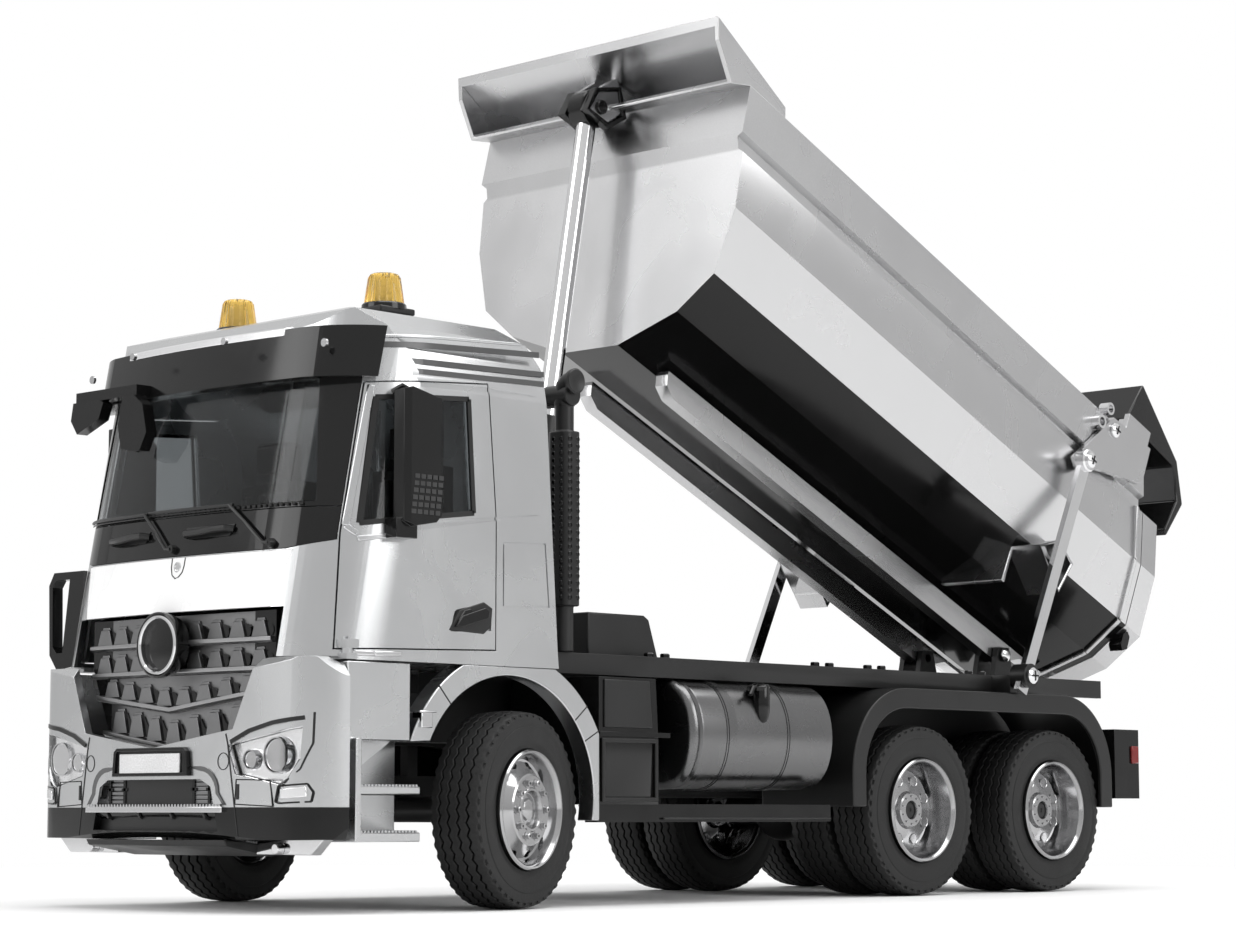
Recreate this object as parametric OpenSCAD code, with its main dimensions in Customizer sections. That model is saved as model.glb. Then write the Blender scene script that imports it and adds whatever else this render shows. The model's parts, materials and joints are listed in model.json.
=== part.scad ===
// Radio-control model of a three-axle tipping lorry, about 1:20 size.
// Millimetres. The model faces -Y, +X is its left side and +Z is up.
// Lengths along Y are written from the front axle; on_truck() moves them to
// the origin, on the ground below the middle of the whole model.

/* [Wheels] */
// Outer diameter of every tyre
tyre_d = 54; // [48:0.5:60]
// Width of every tyre
tyre_w = 15.6; // [13:0.1:17]
// Diameter of the rim where the tyre sits
rim_d = 32.4; // [28:0.2:36]
// Front axle to first rear axle
wheelbase = 185.2; // [170:0.1:225]
// Spacing of the two rear axles
bogie = 70.8; // [62:0.1:86]
// Distance between the middles of the front tyres
track_front = 112; // [106:0.5:118]
// Distance between the middles of the outer rear tyres
track_rear = 99.8; // [96:0.2:106]
// Gap between the two tyres of a rear pair
twin_gap = 2; // [1.5:0.1:3]
// Steering angle at rest, towards the left
steer_rest = 14.4; // [-20:0.1:20]

/* [Cab] */
// Width of the cab
cab_w = 120; // [112:0.5:124]
// Underside of the cab above the ground
cab_floor = 66; // [64:0.5:70]
// Top of the roof above the ground
roof_z = 163.5; // [156:0.5:190]
// Backward lean of the cab's front, in degrees
cab_lean = 10.5; // [8:0.1:12]
// Thickness of the cab's walls
cab_wall = 2; // [1.4:0.1:2.6]
// Thickness of the doors
door_t = 2.6; // [1.8:0.1:3.2]
// Gap round each door
door_gap = 0.4; // [0.3:0.05:0.6]
// Thickness of the window glass
glass_t = 1; // [0.8:0.1:1.4]

/* [Chassis] */
// Width over the deck behind the cab
deck_w = 100; // [92:0.5:104]
// Top of the deck above the ground
deck_z = 71.5; // [69:0.1:74]
// Width over the two long chassis rails
frame_w = 40; // [36:0.5:42]
// Diameter of the fuel tanks' round side
tank_d = 32.4; // [28:0.2:34]
// Length of the fuel tanks
tank_l = 64.5; // [50:0.5:70]

/* [Bed] */
// Width over the bed's top rails
bed_w = 114.8; // [108:0.2:118]
// Depth of the bed, floor to top rail
bed_h = 74.7; // [62:0.1:90]
// Thickness of the bed's walls
bed_wall = 1.6; // [1.2:0.1:2.4]
// Angle of the bed at rest, in degrees
tilt = 24.2; // [0:0.1:26]
// Height of the bed's hinge above the ground
hinge_z = 81; // [79:0.1:84]
// Diameter of the hinge pins
pin_d = 3; // [2:0.1:3.4]
// Radial clearance of every turning pin
run = 0.05; // [0.03:0.01:0.08]
// Diameter of the ram's polished rod
ram_rod_d = 6.2; // [5:0.1:7]

/* [Hidden] */
$fn = 48;
eps = 0.01;

// Wheels and axles
wheel_z = tyre_d / 2;
front_x = track_front / 2;
rear_x = track_rear / 2;
inner_x = rear_x - tyre_w - twin_gap;
axle_ys = [wheelbase, wheelbase + bogie];
kingpin_x = front_x - 10;
stub_r = 2;
hub_r = 5;
rim_r = rim_d / 2;

// Bed hinge, rear and the pins of the linkage, as (y, z) with the bed lowered
hinge_y = wheelbase + bogie + 22.5;
bed_z = hinge_z + 5.7;
bed_top = bed_z + bed_h;
bed_front = 72.4;
wall_lean = 18 * 0.83;
rear_y = hinge_y + 33;
ram_pin = [40.3, bed_top - 5.4];
ram_base = [54, 38];
gate_pin = [hinge_y - 18.5, bed_top - 4.3];
link_pin = [hinge_y - 32.2, bed_top - 24.1];
link_foot = [hinge_y - 42.8, deck_z - 0.5];
link_x = bed_w / 2 + 3.1;
bar_t = 2;

// Cab
cab_front = -71.5;
cab_back = 18.4;
lean_z = 80;
cab_r = 26;
cab_set = 2;
door_front = -60.3;
door_back = -5.4;

// Chassis
frame_t = 4;
frame_front = -60;
frame_back = hinge_y + 24.5;
deck_front = 20;
deck_back = hinge_y + 17.5;

// Middle of the whole model, front bumper to the raised tailgate hood
hood_tip = [hinge_y + 33.5, bed_top - 5.2];
bumper_front = -76;
origin_y = (bumper_front + tipped(hood_tip)[0]) / 2;

function tipped(p) = [
    hinge_y + (p[0] - hinge_y) * cos(tilt) + (p[1] - hinge_z) * sin(tilt),
    hinge_z - (p[0] - hinge_y) * sin(tilt) + (p[1] - hinge_z) * cos(tilt)];

// Polygon p, counter-clockwise, moved in by t
function inset(p, t) = [for (i = [0 : len(p) - 1])
    let (a = p[(i + len(p) - 1) % len(p)], b = p[i], c = p[(i + 1) % len(p)],
        u = (b - a) / norm(b - a), v = (c - b) / norm(c - b),
        m = [-u[1], u[0]], n = [-v[1], v[0]])
    b + t * (m + n) / (1 + m * n)];

// Right-hand half outline, bottom to top, completed with its mirror image
function both_sides(p) = concat(p, [for (i = [len(p) - 1 : -1 : 0]) [-p[i][0], p[i][1]]]);

function angle_of(a, b) = atan2(b[1] - a[1], b[0] - a[0]);

module on_truck() translate([0, -origin_y, 0]) children();
module on_bed() on_truck()
    translate([0, hinge_y, hinge_z]) rotate([-tilt, 0, 0]) translate([0, -hinge_y, -hinge_z]) children();
module along_x(x, w) translate([x, 0, 0]) rotate([90, 0, 90]) linear_extrude(w) children();
module along_y(y, l) translate([0, y + l, 0]) rotate([90, 0, 0]) linear_extrude(l) children();
module both() { children(); mirror([1, 0, 0]) children(); }
module side(s) if (s > 0) children(); else mirror([1, 0, 0]) children();
module rod_x(x, w, y, z, r) translate([x, y, z]) rotate([0, 90, 0]) cylinder(r = r, h = w);
module box(x, y, z) translate([x[0], y[0], z[0]]) cube([x[1] - x[0], y[1] - y[0], z[1] - z[0]]);
module rounded(x, y, r) {
    box2([x[0] + r, x[1] - r], y);
    box2(x, [y[0] + r, y[1] - r]);
    for (a = [x[0] + r, x[1] - r], b = [y[0] + r, y[1] - r]) translate([a, b]) circle(r);
}
module rod_z(p, z, h, r) translate([p[0], p[1], z]) cylinder(r = r, h = h);
module box2(x, y) translate([x[0], y[0]]) square([x[1] - x[0], y[1] - y[0]]);

// ---- chassis ----

rail_side = [[frame_front, 46], [40, 46], [60, 44], [frame_back, 44], [frame_back, deck_z - 2],
    [deck_front, deck_z - 2], [deck_front, 60], [frame_front, 60]];

module chassis_frame() color("dimgray") difference() {
    union() {
        both() along_x(frame_w / 2 - frame_t, frame_t) polygon(rail_side);
        for (y = [frame_front, 110, wheelbase + bogie / 2 - 2, frame_back - 4])
            box([-frame_w / 2 + frame_t - eps, frame_w / 2 - frame_t + eps], [y, y + 4], [48, 58]);
        // Cab mounts
        for (y = [-50, 6]) both() box([frame_w / 2 - frame_t, frame_w / 2 + 4], [y, y + 8], [58, cab_floor]);
        both() box([frame_w / 2 - frame_t, frame_w / 2 - 1], [ram_base[0] - 6, ram_base[0] + 6],
            [ram_base[1] - 6, 46]);
    }
    rod_x(-30, 60, ram_base[0], ram_base[1], pin_d / 2 + run);
}

module axles() color("dimgray") {
    // Front beam with a fork for each knuckle
    difference() {
        union() {
            rod_x(-kingpin_x + 5, 2 * kingpin_x - 10, 0, wheel_z, 3.5);
            both() box([kingpin_x - 6, kingpin_x - 3.6], [-4, 4], [wheel_z - 9, wheel_z + 9]);
            both() for (z = [-9, 6]) translate([kingpin_x, 0, wheel_z + z]) cylinder(r = 3.6, h = 3);
            both() for (z = [-9, 6]) box([kingpin_x - 5, kingpin_x], [-3.6, 3.6],
                [wheel_z + z, wheel_z + z + 3]);
        }
        both() translate([kingpin_x, 0, 0]) cylinder(r = 1.5 + run, h = tyre_d);
    }
    for (y = axle_ys) {
        rod_x(-inner_x + tyre_w / 2 + 2, 2 * inner_x - tyre_w - 4, y, wheel_z, 4.5);
        rod_x(-rear_x - 1, 2 * rear_x + 2, y, wheel_z, stub_r);
        translate([0, y, wheel_z]) intersection() {
            sphere(r = 10);
            box([-9, 9], [-10, 10], [-10, 10]);
        }
    }
}

module leaf_springs() color("#303030") both() {
    for (i = [0 : 2]) box([frame_w / 2 - 3.6, frame_w / 2 - 0.4], [-36 + 7 * i, 36 - 7 * i],
        [wheel_z + 3.5 + 2 * (2 - i), wheel_z + 5.5 + 2 * (2 - i)]);
    for (y = [-36, 32]) box([frame_w / 2 - 3.6, frame_w / 2 - 0.4], [y, y + 4], [wheel_z + 9.5, 46]);
    for (i = [0 : 2]) box([frame_w / 2 - 3.6, frame_w / 2 - 0.4],
        [wheelbase - 4 + 8 * i, wheelbase + bogie + 4 - 8 * i],
        [wheel_z + 4.5 + 2.5 * i, wheel_z + 7 + 2.5 * i]);
    box([frame_w / 2 - 3.6, frame_w / 2 - 0.4], [wheelbase + bogie / 2 - 6, wheelbase + bogie / 2 + 6],
        [wheel_z + 12, 44]);
}

module driveline() color("#2c2c2c") {
    // Battery, motor and gearbox as one closed block between the rails
    box([-frame_w / 2 + frame_t, frame_w / 2 - frame_t], [70, 105], [30, 62]);
    along_y(105, wheelbase - 105 - 9.5) translate([0, wheel_z + 6]) circle(2.2);
    along_y(wheelbase + 10.1, bogie - 20.2) translate([0, wheel_z]) circle(2.2);
}

module deck_plate() color("#1c1c1c") difference() {
    union() {
        box([-deck_w / 2, deck_w / 2], [deck_front, deck_back], [deck_z - 2, deck_z]);
        both() box([deck_w / 2 - 2, deck_w / 2], [deck_front, deck_back], [deck_z - 6, deck_z - 2 + eps]);
        both() hinge_ears();
        both() link_bracket();
    }
    box([-9, 9], [ram_base[0] - 24, ram_base[0] + 24], [deck_z - 3, deck_z + 1]);
    rod_x(-30, 60, hinge_y, hinge_z, pin_d / 2);
}

rail_x = [14.1, 19.1];
module hinge_ears() for (x = [rail_x[0] - 2.4, rail_x[1] + 0.3]) along_x(x, 2.1)
    polygon([[hinge_y - 6, deck_z - eps], [hinge_y + 6, deck_z - eps],
        [hinge_y + 3, hinge_z + 2.6], [hinge_y - 3, hinge_z + 2.6]]);

module link_bracket() {
    box([deck_w / 2 - eps, link_x - 2.8], [link_foot[0] - 3, link_foot[0] + 3], [deck_z - 6, deck_z]);
    rod_x(link_x - 4, 3.8, link_foot[0], link_foot[1], 1.2);
}

module deck_box() color("#202020") difference() {
    along_x(-42, 84) polygon([[49, deck_z], [79, deck_z], [75, deck_z + 11.5], [73, deck_z + 12.7],
        [49, deck_z + 12.7]]);
    // Slot for the ram
    box([-9, 9], [40, 70], [deck_z - 1, deck_z + 20]);
}

module air_stack() color("#1a1a1a") {
    rod_z([50, 31], deck_z, 72, 2.7);
    translate([0, 0, deck_z + 13]) linear_extrude(50) rounded([46, 54], [27.5, 34.5], 2.4);
    rod_x(43, 10.5, 31, deck_z + 73.5, 3.2);
}

// ---- front ----

// Plan of a bowed front: y from front, half wide, corners of radius r set back by d, moved in by t
module nose_plan(front, half, r, d, t) intersection() {
    translate([0, front + 300]) circle(r = 300 - t, $fn = 96);
    union() {
        rounded([-half + t, half - t], [front + d + t, front + 150], r - t);
        box2([r - half, half - r], [front - 20, front + 50]);
    }
}
module bumper_plan(t) nose_plan(bumper_front, 62, 16, 3.4, t);

grille_side = [[40, 79.5], [40, 66], [32, 48]];
grille_low = 43.4;
bumper_low = 19.2;
bumper_high = 66.5;
bumper_back = -59.5;

module bumper_shell(t0, t1) difference() {
    translate([0, 0, bumper_low]) linear_extrude(48.8) bumper_plan(t0);
    translate([0, 0, bumper_low - 1]) linear_extrude(52) bumper_plan(t1);
    box([-80, 80], [bumper_back, 100], [0, 100]);
}
// Bumper's outer form, with its top and lower edges drawn in
module bumper_form() {
    along_x(-70, 140) polygon([[-77, 22], [-73, bumper_low - eps], [-50, bumper_low - eps], [-50, bumper_high],
        [-70.6, bumper_high], [-77, 60.5]]);
}

module grille_shape() polygon(both_sides([[0, grille_low], [32, 48], [40, 66], [40, 79.5]]));
lamp_outline = [[33, 36.2], [50, 32.8], [54.5, 40], [55, 48.5], [30, 43.8]];
module lamp_shape() polygon(lamp_outline);
module intake_shape() polygon(both_sides([[27, 21.5], [24, 33], [20, 35]]));
module plate_shape() rounded([-14, 14], [36.5, 42], 1);

module front_bumper() color("silver") difference() {
    intersection() {
        bumper_shell(0, 2.4);
        bumper_form();
        along_y(-90, 60) polygon(both_sides([[60, bumper_low - 1], [62.5, 24], [62.5, 60.5], [56.5, 68]]));
    }
    along_y(-90, 40) grille_shape();
    both() along_y(-90, 40) lamp_shape();
    along_y(-90, 40) intake_shape();
}

module bumper_insert() color("#1e1e1e") intersection() {
    bumper_shell(2.5, 5);
    along_y(-90, 40) intersection() {
        box2([-34, 34], [20, 43]);
        union() {
            box2([-34, 34], [20, 36]);
            plate_shape();
        }
    }
}

module headlamps() color("white", 0.5) both() intersection() {
    bumper_shell(0.4, 2);
    along_y(-90, 40) polygon(inset(lamp_outline, 0.15));
}

module skid_plate() color("#161616") along_x(-30, 60)
    polygon([[-75, 19], [-74, 17.4], [-58, 14.6], [-56, 16.4], [-58, 17.4], [-72, 19]]);

module grille() color("#3a3a3a") {
    intersection() {
        bumper_shell(7, 9);
        along_y(-90, 60) grille_shape();
    }
    for (z = [73, 64]) intersection() {
        translate([0, 0, z - 1.6]) linear_extrude(3.2) difference() {
            bumper_plan(1);
            bumper_plan(7 + eps);
        }
        along_y(-90, 30) grille_shape();
    }
    for (z = [54.3, 45.9]) intersection() {
        linear_extrude(90) difference() {
            bumper_plan(1);
            bumper_plan(7 + eps);
        }
        along_y(-90, 40) polygon(both_sides([[0, z - 1.2], [36, z + 4.2], [36, z + 7.2], [0, z + 1.8]]));
        along_y(-90, 60) grille_shape();
    }
}

module badge() color("silver") translate([0, bumper_front + 1, 71.2]) rotate([90, 0, 0])
    cylinder(r = 9.2, h = 1.4);

// ---- cab ----

cab_side = [[-90, cab_floor], [cab_back + 0.5, cab_floor], [cab_back, 71], [cab_back - 5.2, roof_z - 15.5],
    [cab_back - 9, roof_z - 7.5], [cab_back - 16, roof_z - 2], [cab_back - 28, roof_z],
    [cab_front + 31, roof_z], [cab_front + 21, roof_z - 3], [cab_front + 9, roof_z - 13.5],
    [-90, roof_z - 13.5]];
cab_half = [[cab_w / 2, cab_floor - 6], [cab_w / 2, roof_z - 23.5], [cab_w / 2 - 1.2, roof_z - 13.5],
    [cab_w / 2 - 4, roof_z - 7], [cab_w / 2 - 10, roof_z - 2.5], [cab_w / 2 - 20, roof_z - 0.5],
    [0, roof_z + 0.2]];

module cab_volume(t) intersection() {
    along_x(-80, 160) polygon(inset(cab_side, t));
    along_y(-90, 130) polygon(inset(both_sides([for (p = cab_half) if (p[0] > 0) p]), t));
    leaning(-35, roof_z - lean_z + 60) nose_plan(0, cab_w / 2, cab_r, cab_set, t);
}
// Upright outline leaning back with the cab's front, from height z above lean_z
module leaning(z, h) translate([0, cab_front, lean_z]) rotate([-cab_lean, 0, 0]) translate([0, 0, z])
    linear_extrude(h) children();
module cab_skin(t0, t1) difference() {
    cab_volume(t0);
    cab_volume(t1);
}

door_pin = [cab_w / 2 - 2, -57.6];
door_shape = [[door_front, 68.5], [door_back, 70], [door_back, 106], [door_back - 3.2, roof_z - 20],
    [door_front + 11.2, roof_z - 23], [door_front + 3.4, 99.3]];
window_shape = [[-52.6, 102.6], [-14.4, 107.4], [-16.5, roof_z - 25], [-46.9, roof_z - 27]];
screen_shape = both_sides([[48, 108], [44, roof_z - 22]]);
cowl_shape = both_sides([[42, 95.5], [52, 97.4], [60, 99.5], [60, 106.6]]);
frame_shape = both_sides([[60, 106.7], [60, roof_z - 18]]);
black_shape = both_sides([[42, 95.4], [52, 97.3], [60, 99.4], [60, roof_z - 17.9]]);
panel_shape = both_sides([[40, 80], [44, 95.2]]);
// Everything ahead of the door's front edge, less g
module ahead_of_door(g) along_x(-80, 160) polygon([[-90, 60], [door_front - g, 60], [door_front - g, 68.5],
    [door_front + 3.4 - g, 99.3], [door_front + 11.2 - g, roof_z - 23], [door_front + 14 - g, roof_z],
    [-90, roof_z]]);

// Space of a door, g smaller all round
module door_space(g) along_x(50 + g, 40) polygon(inset(door_shape, g));

module cab_shell() color("silver") {
    cab_body();
    // Pins of the doors' lower hinges
    both() {
        box([53.6, 59.8], [door_pin[1] - 1.7, door_pin[1] + 2], [cab_floor, cab_floor + 1.6]);
        rod_z(door_pin, cab_floor, 71 - cab_floor, pin_d / 2);
    }
}
module cab_body() difference() {
    cab_skin(0, cab_wall);
    both() door_space(0);
    intersection() {
        along_y(-90, 60) polygon(black_shape);
        ahead_of_door(0.2);
    }
    along_y(-90, 60) polygon(panel_shape);
    box([-44, 44], [-90, -55], [50, 80]);
    // Room for the bumper's corners
    box([-70, 70], [-90, bumper_back + 0.3], [50, bumper_high + 0.3]);
    both() side_lines();
}

// Shallow pressed lines of the cab's side: band over the door, ledges and hatch
line_t = 0.5;
module side_lines() along_x(cab_w / 2 - line_t, 5) {
    for (z = [142.6, 145.4]) polygon([[-49, z], [12.8, z + 1.7], [12.6, z + 3.4], [-49, z + 1.7]]);
    polygon([[-38, 100.7], [11.2, 108.5], [-37.8, 103.2]]);
    polygon([[-34, 139.9], [-8, 141], [9.6, 141.6], [-8, 142.3], [-34, 141.3]]);
    difference() {
        polygon([[-3, 82], [15.2, 82.8], [13.6, 100.8], [-3, 100]]);
        polygon([[-2.5, 82.5], [14.6, 83.3], [13.1, 100.3], [-2.5, 99.5]]);
    }
}

module windscreen() color("#303438", 0.4) intersection() {
    cab_skin(0.3, 0.3 + glass_t);
    along_y(-90, 60) polygon(inset(screen_shape, 0.15));
}
module cowl() color("#2a2a2c") intersection() {
    cab_skin(0, cab_wall);
    along_y(-90, 60) polygon(inset(cowl_shape, 0.1));
    ahead_of_door(0.4);
}
// Black posts and rim that hold the windscreen
module screen_frame() difference() {
    intersection() {
        cab_skin(0, cab_wall);
        along_y(-90, 60) polygon(inset(frame_shape, 0.05));
        ahead_of_door(0.4);
    }
    along_y(-90, 60) polygon(screen_shape);
}
module front_panel() color("whitesmoke") intersection() {
    cab_skin(0, cab_wall);
    along_y(-90, 60) polygon(inset(panel_shape, 0.1));
}
module visor_plan() nose_plan(-4, cab_w / 2 + 1.5, cab_r, cab_set, 0);
module sun_visor() color("#222222") intersection() {
    leaning(55, 30) difference() {
        visor_plan();
        nose_plan(0, cab_w / 2, cab_r, cab_set, -0.15);
    }
    along_x(-80, 160) polygon([[-90, roof_z - 22], [-48, roof_z - 22], [-45, roof_z - 8],
        [-90, roof_z - 8]]);
}
module door(s) color("silver") side(s) difference() {
    union() {
        intersection() {
            cab_skin(0, door_t);
            door_space(door_gap);
        }
        // Lug that swings on the cab's pin
        box([54, 60], [door_pin[1] - 1.8, door_pin[1] + 2.4], [68.9, 71.2]);
    }
    along_x(20, 60) polygon(window_shape);
    side_lines();
    // Handle recess
    along_x(cab_w / 2 - 0.8, 5) polygon([[-22.6, 74.6], [-7.4, 75.4], [-7.2, 81], [-10, 82.6], [-21, 80.6]]);
    rod_z(door_pin, 60, 12, pin_d / 2 + run);
}
module door_glass(s) color("#303438", 0.4) side(s) intersection() {
    cab_skin(0.8, 0.8 + glass_t);
    along_x(20, 60) polygon(inset(window_shape, 0.15));
}
// Door mirror, folded flat along the window, on a foot below it
module mirror_arm(s) color("#1b1b1b") side(s) {
    intersection() {
        translate([0, 0, 95]) linear_extrude(50) polygon([[61, -44.5], [64.6, -44], [65.8, -42.4],
            [65.6, -31.4], [63.6, -28.8], [61, -28.8]]);
        along_x(60, 8) polygon([[-45, 103.4], [-41, 101.6], [-33, 103], [-28, 108], [-28, 133.6],
            [-31, 136.4], [-42, 138.8], [-45, 138]]);
    }
    difference() {
        box([57, 64], [-46, -38.5], [98.4, 103.6]);
        leaning(-35, 100) nose_plan(0, cab_w / 2, cab_r, cab_set, -0.15);
    }
}
// Kerb and front mirrors on one arm at the right end of the visor
module front_mirrors() color("#1b1b1b") {
    difference() {
        box([-48, -20], [-68, -58], [142, 145]);
        leaning(55, 30) nose_plan(-4.1, cab_w / 2 + 1.6, cab_r, cab_set, 0);
    }
    along_y(-69, 3.6) polygon([[-49, 137], [-46, 133], [-36, 136.5], [-34, 141], [-36, 142 + eps],
        [-48, 142 + eps]]);
    along_y(-69, 3.6) polygon([[-27, 134], [-25.5, 127], [-17, 126], [-14, 131], [-16, 139], [-20, 142 + eps],
        [-25, 142 + eps]]);
}
// Upright open fin beside the right-hand corner of the grille
module corner_loop() difference() {
    along_y(-64.2, 3.6) difference() {
        polygon([[-48, 68], [-60, 66.6], [-63.6, 71], [-64.4, 91], [-62, 94.6], [-48, 94.6]]);
        polygon([[-57.5, 71.5], [-60.4, 71.5], [-62.2, 73.4], [-62.7, 90.4], [-61, 92.4], [-54.5, 92.4]]);
    }
    leaning(-35, 100) nose_plan(0, cab_w / 2, cab_r, cab_set, -0.15);
}

module cab_trim() color("#161616") {
    screen_frame();
    corner_loop();
}
module beacon_bases() color("#202020") {
    box([-38, 38], [-29, -16], [roof_z + 0.3, roof_z + 2.2]);
}
module beacons() color("orange", 0.8) both() translate([32.2, -22.4, roof_z + 2.2])
    cylinder(r1 = 5.5, r2 = 4.6, h = 9.4);

module cab_steps() color("silver") both() {
    box([cab_w / 2 - 3, cab_w / 2], [-59, -37], [45, cab_floor - 0.5]);
    box([50, 62], [-57.6, -35], [18.6, 21]);
    box([50, 62], [-57.6, -35], [31, 33]);
    box([50, 52], [-57.6, -35], [18.6, 46]);
    box([50, 62], [-57.6, -55.6], [18.6, 45.5]);
    box([50, cab_w / 2 - 3 + eps], [-57.6, -37], [45.5, 47]);
}
arch_z = 30.5;
arch_r = 33;
module wheel_arches() color("silver") both() difference() {
    along_x(cab_w / 2 - 6, 6) difference() {
        translate([0, arch_z]) circle(arch_r + 6.5, $fn = 72);
        translate([0, arch_z]) circle(arch_r, $fn = 72);
        box2([-60, 60], [-20, 24]);
        box2([-60, 0], [-20, 45]);
        box2([-60, 60], [cab_floor - 0.1, 90]);
        box2([35.3, 60], [0, 90]);
    }
}
module dashboard() color("#2b2b2b") {
    intersection() {
        cab_volume(cab_wall + 0.1);
        box([-46, 46], [-70, -48], [90, 99]);
    }
    translate([28, -44, 100]) rotate([-60, 0, 0]) rotate_extrude() translate([7.5, 0]) circle(0.9);
    translate([28, -44, 100]) rotate([-60, 0, 0]) translate([0, 0, -9]) cylinder(r = 1.2, h = 9.5);
    translate([28, -44, 100]) rotate([-60, 0, 0]) translate([-7.5, -0.8, -0.8]) cube([15, 1.6, 1.6]);
}
module seats() color("#303030") both() {
    box([16, 42], [-34, -8], [cab_floor + cab_wall, 90]);
    box([16, 42], [-12, -5], [90 - eps, 122]);
    box([22, 36], [-11, -6], [122 - eps, 134]);
}

// ---- sides and rear ----

module toolboxes() both() {
    along_x(24, 35.5) polygon([[35.5, 28.5], [60, 28.5], [60, 49], [59, deck_z - 7], [35.5, deck_z - 7]]);
    box([24, cab_w / 2], [35.5, 64.7], [47.6, 49]);
    box([54, cab_w / 2 - 1], [35.5, 138], [23.5, 28.6]);
}
tank_y = 74.5;
tank_z = deck_z - 6.2 - tank_d / 2;
module fuel_tanks() color("gray") both() along_y(tank_y, tank_l)
    rounded([frame_w / 2 + 0.1, cab_w / 2], [tank_z - tank_d / 2, tank_z + tank_d / 2], 9);
guard_front = wheelbase - 36.6;
guard_back = wheelbase + bogie + 32;
guard_top = deck_z - 6.1;
module guard_side(t) rounded([guard_front + t, guard_back - t], [-40, guard_top - t], 27 - t);
module rear_mudguards() color("#1a1a1a") both() difference() {
    along_x(frame_w / 2 + 2, rear_x + tyre_w / 2 + 1.8 - frame_w / 2 - 2) difference() {
        guard_side(0);
        box2([0, 400], [-60, 28]);
    }
    along_x(0, rear_x + tyre_w / 2 + 0.3) guard_side(1.6);
    along_x(0, 100) guard_side(6.5);
}
module tail_boxes() {
    both() box([28, cab_w / 2 - 1], [hinge_y + 12, hinge_y + 26.5], [31, 54.6]);
    box([-28 - eps, 28 + eps], [frame_back, frame_back + 2], [44, 54]);
}

module side_boxes() color("#1c1c1c") {
    toolboxes();
    tail_boxes();
}

// ---- wheels ----

module tyre_ring() rotate([0, 90, 0]) rotate_extrude($fn = 96) polygon([
    [rim_r, -tyre_w / 2 + 1], [rim_r + 2, -tyre_w / 2], [wheel_z - 3, -tyre_w / 2], [wheel_z, -tyre_w / 2 + 2],
    [wheel_z, tyre_w / 2 - 2], [wheel_z - 3, tyre_w / 2], [rim_r + 2, tyre_w / 2], [rim_r, tyre_w / 2 - 1]]);

// Rim with its dish at the +X side; the dish is deep on the rear wheels
module rim_ring(web) rotate([0, 90, 0]) rotate_extrude($fn = 96) polygon([
    [hub_r - eps, web], [hub_r - eps, web + 2], [rim_r - 3.2, web + 2], [rim_r - 2.2, tyre_w / 2],
    [rim_r - 1, tyre_w / 2 + 1], [rim_r, tyre_w / 2 - 1], [rim_r, -tyre_w / 2 + 1],
    [rim_r - 1.2, -tyre_w / 2], [rim_r - 2, -tyre_w / 2 + 1], [rim_r - 4.2, web]]);

module front_wheel_place(s) side(s) translate([kingpin_x, 0, wheel_z]) rotate([0, 0, s * steer_rest])
    translate([front_x - kingpin_x, 0, 0]) children();
module front_rim(s) color("silver") front_wheel_place(s) {
    difference() {
        union() {
            rim_ring(4);
            rod_x(2, 6.5, 0, 0, hub_r);
        }
        rod_x(1, 6, 0, 0, stub_r + run);
    }
}
module front_tyre(s) color("#202020") front_wheel_place(s) tyre_ring();

module knuckle(s) color("#3c3c3c") side(s) translate([kingpin_x, 0, wheel_z]) rotate([0, 0, s * steer_rest]) {
    translate([0, 0, -9.4]) cylinder(r = 1.5, h = 18.8);
    translate([0, 0, -5.8]) cylinder(r = 3.2, h = 11.6);
    rod_x(0, front_x - kingpin_x + 6.8, 0, 0, stub_r);
}

module rear_rims(y, s) color("silver") side(s) translate([0, y, wheel_z]) difference() {
    union() {
        translate([rear_x, 0, 0]) rim_ring(-3);
        translate([inner_x, 0, 0]) mirror([1, 0, 0]) rim_ring(-3);
        rod_x(inner_x - 1, rear_x - inner_x + 1, 0, 0, hub_r);
    }
    rod_x(inner_x - 4, rear_x - inner_x + 6, 0, 0, stub_r + run);
}
module rear_tyres(y, s) color("#202020") side(s) translate([0, y, wheel_z]) {
    translate([rear_x, 0, 0]) tyre_ring();
    translate([inner_x, 0, 0]) tyre_ring();
}

// ---- bed, in its lowered place ----

half = bed_w / 2;
bed_half = [[12, bed_z], [36, bed_z + 7.8], [50, bed_z + 17.8], [half - 1.2, bed_z + 37.2],
    [half - 0.4, bed_z + 54.3], [half - 2.2, bed_z + 55.3], [half - 2.2, bed_z + 58.6],
    [half, bed_z + 59.6], [half, bed_top]];
bed_inner = [[12, bed_z], [36, bed_z + 7.8], [50, bed_z + 17.8], [half - 1.2, bed_z + 37.2],
    [half - 2.2, bed_z + 55.3], [half - 2.2, bed_top + 10]];
bed_outline = [[bed_front, bed_z - eps], [rear_y, bed_z - eps], [rear_y - 0.4 * bed_h, bed_top],
    [bed_front - 21, bed_top], [bed_front - 18.4, bed_z + 59.6], [bed_front - 15.4, bed_z + 54.3]];

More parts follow.
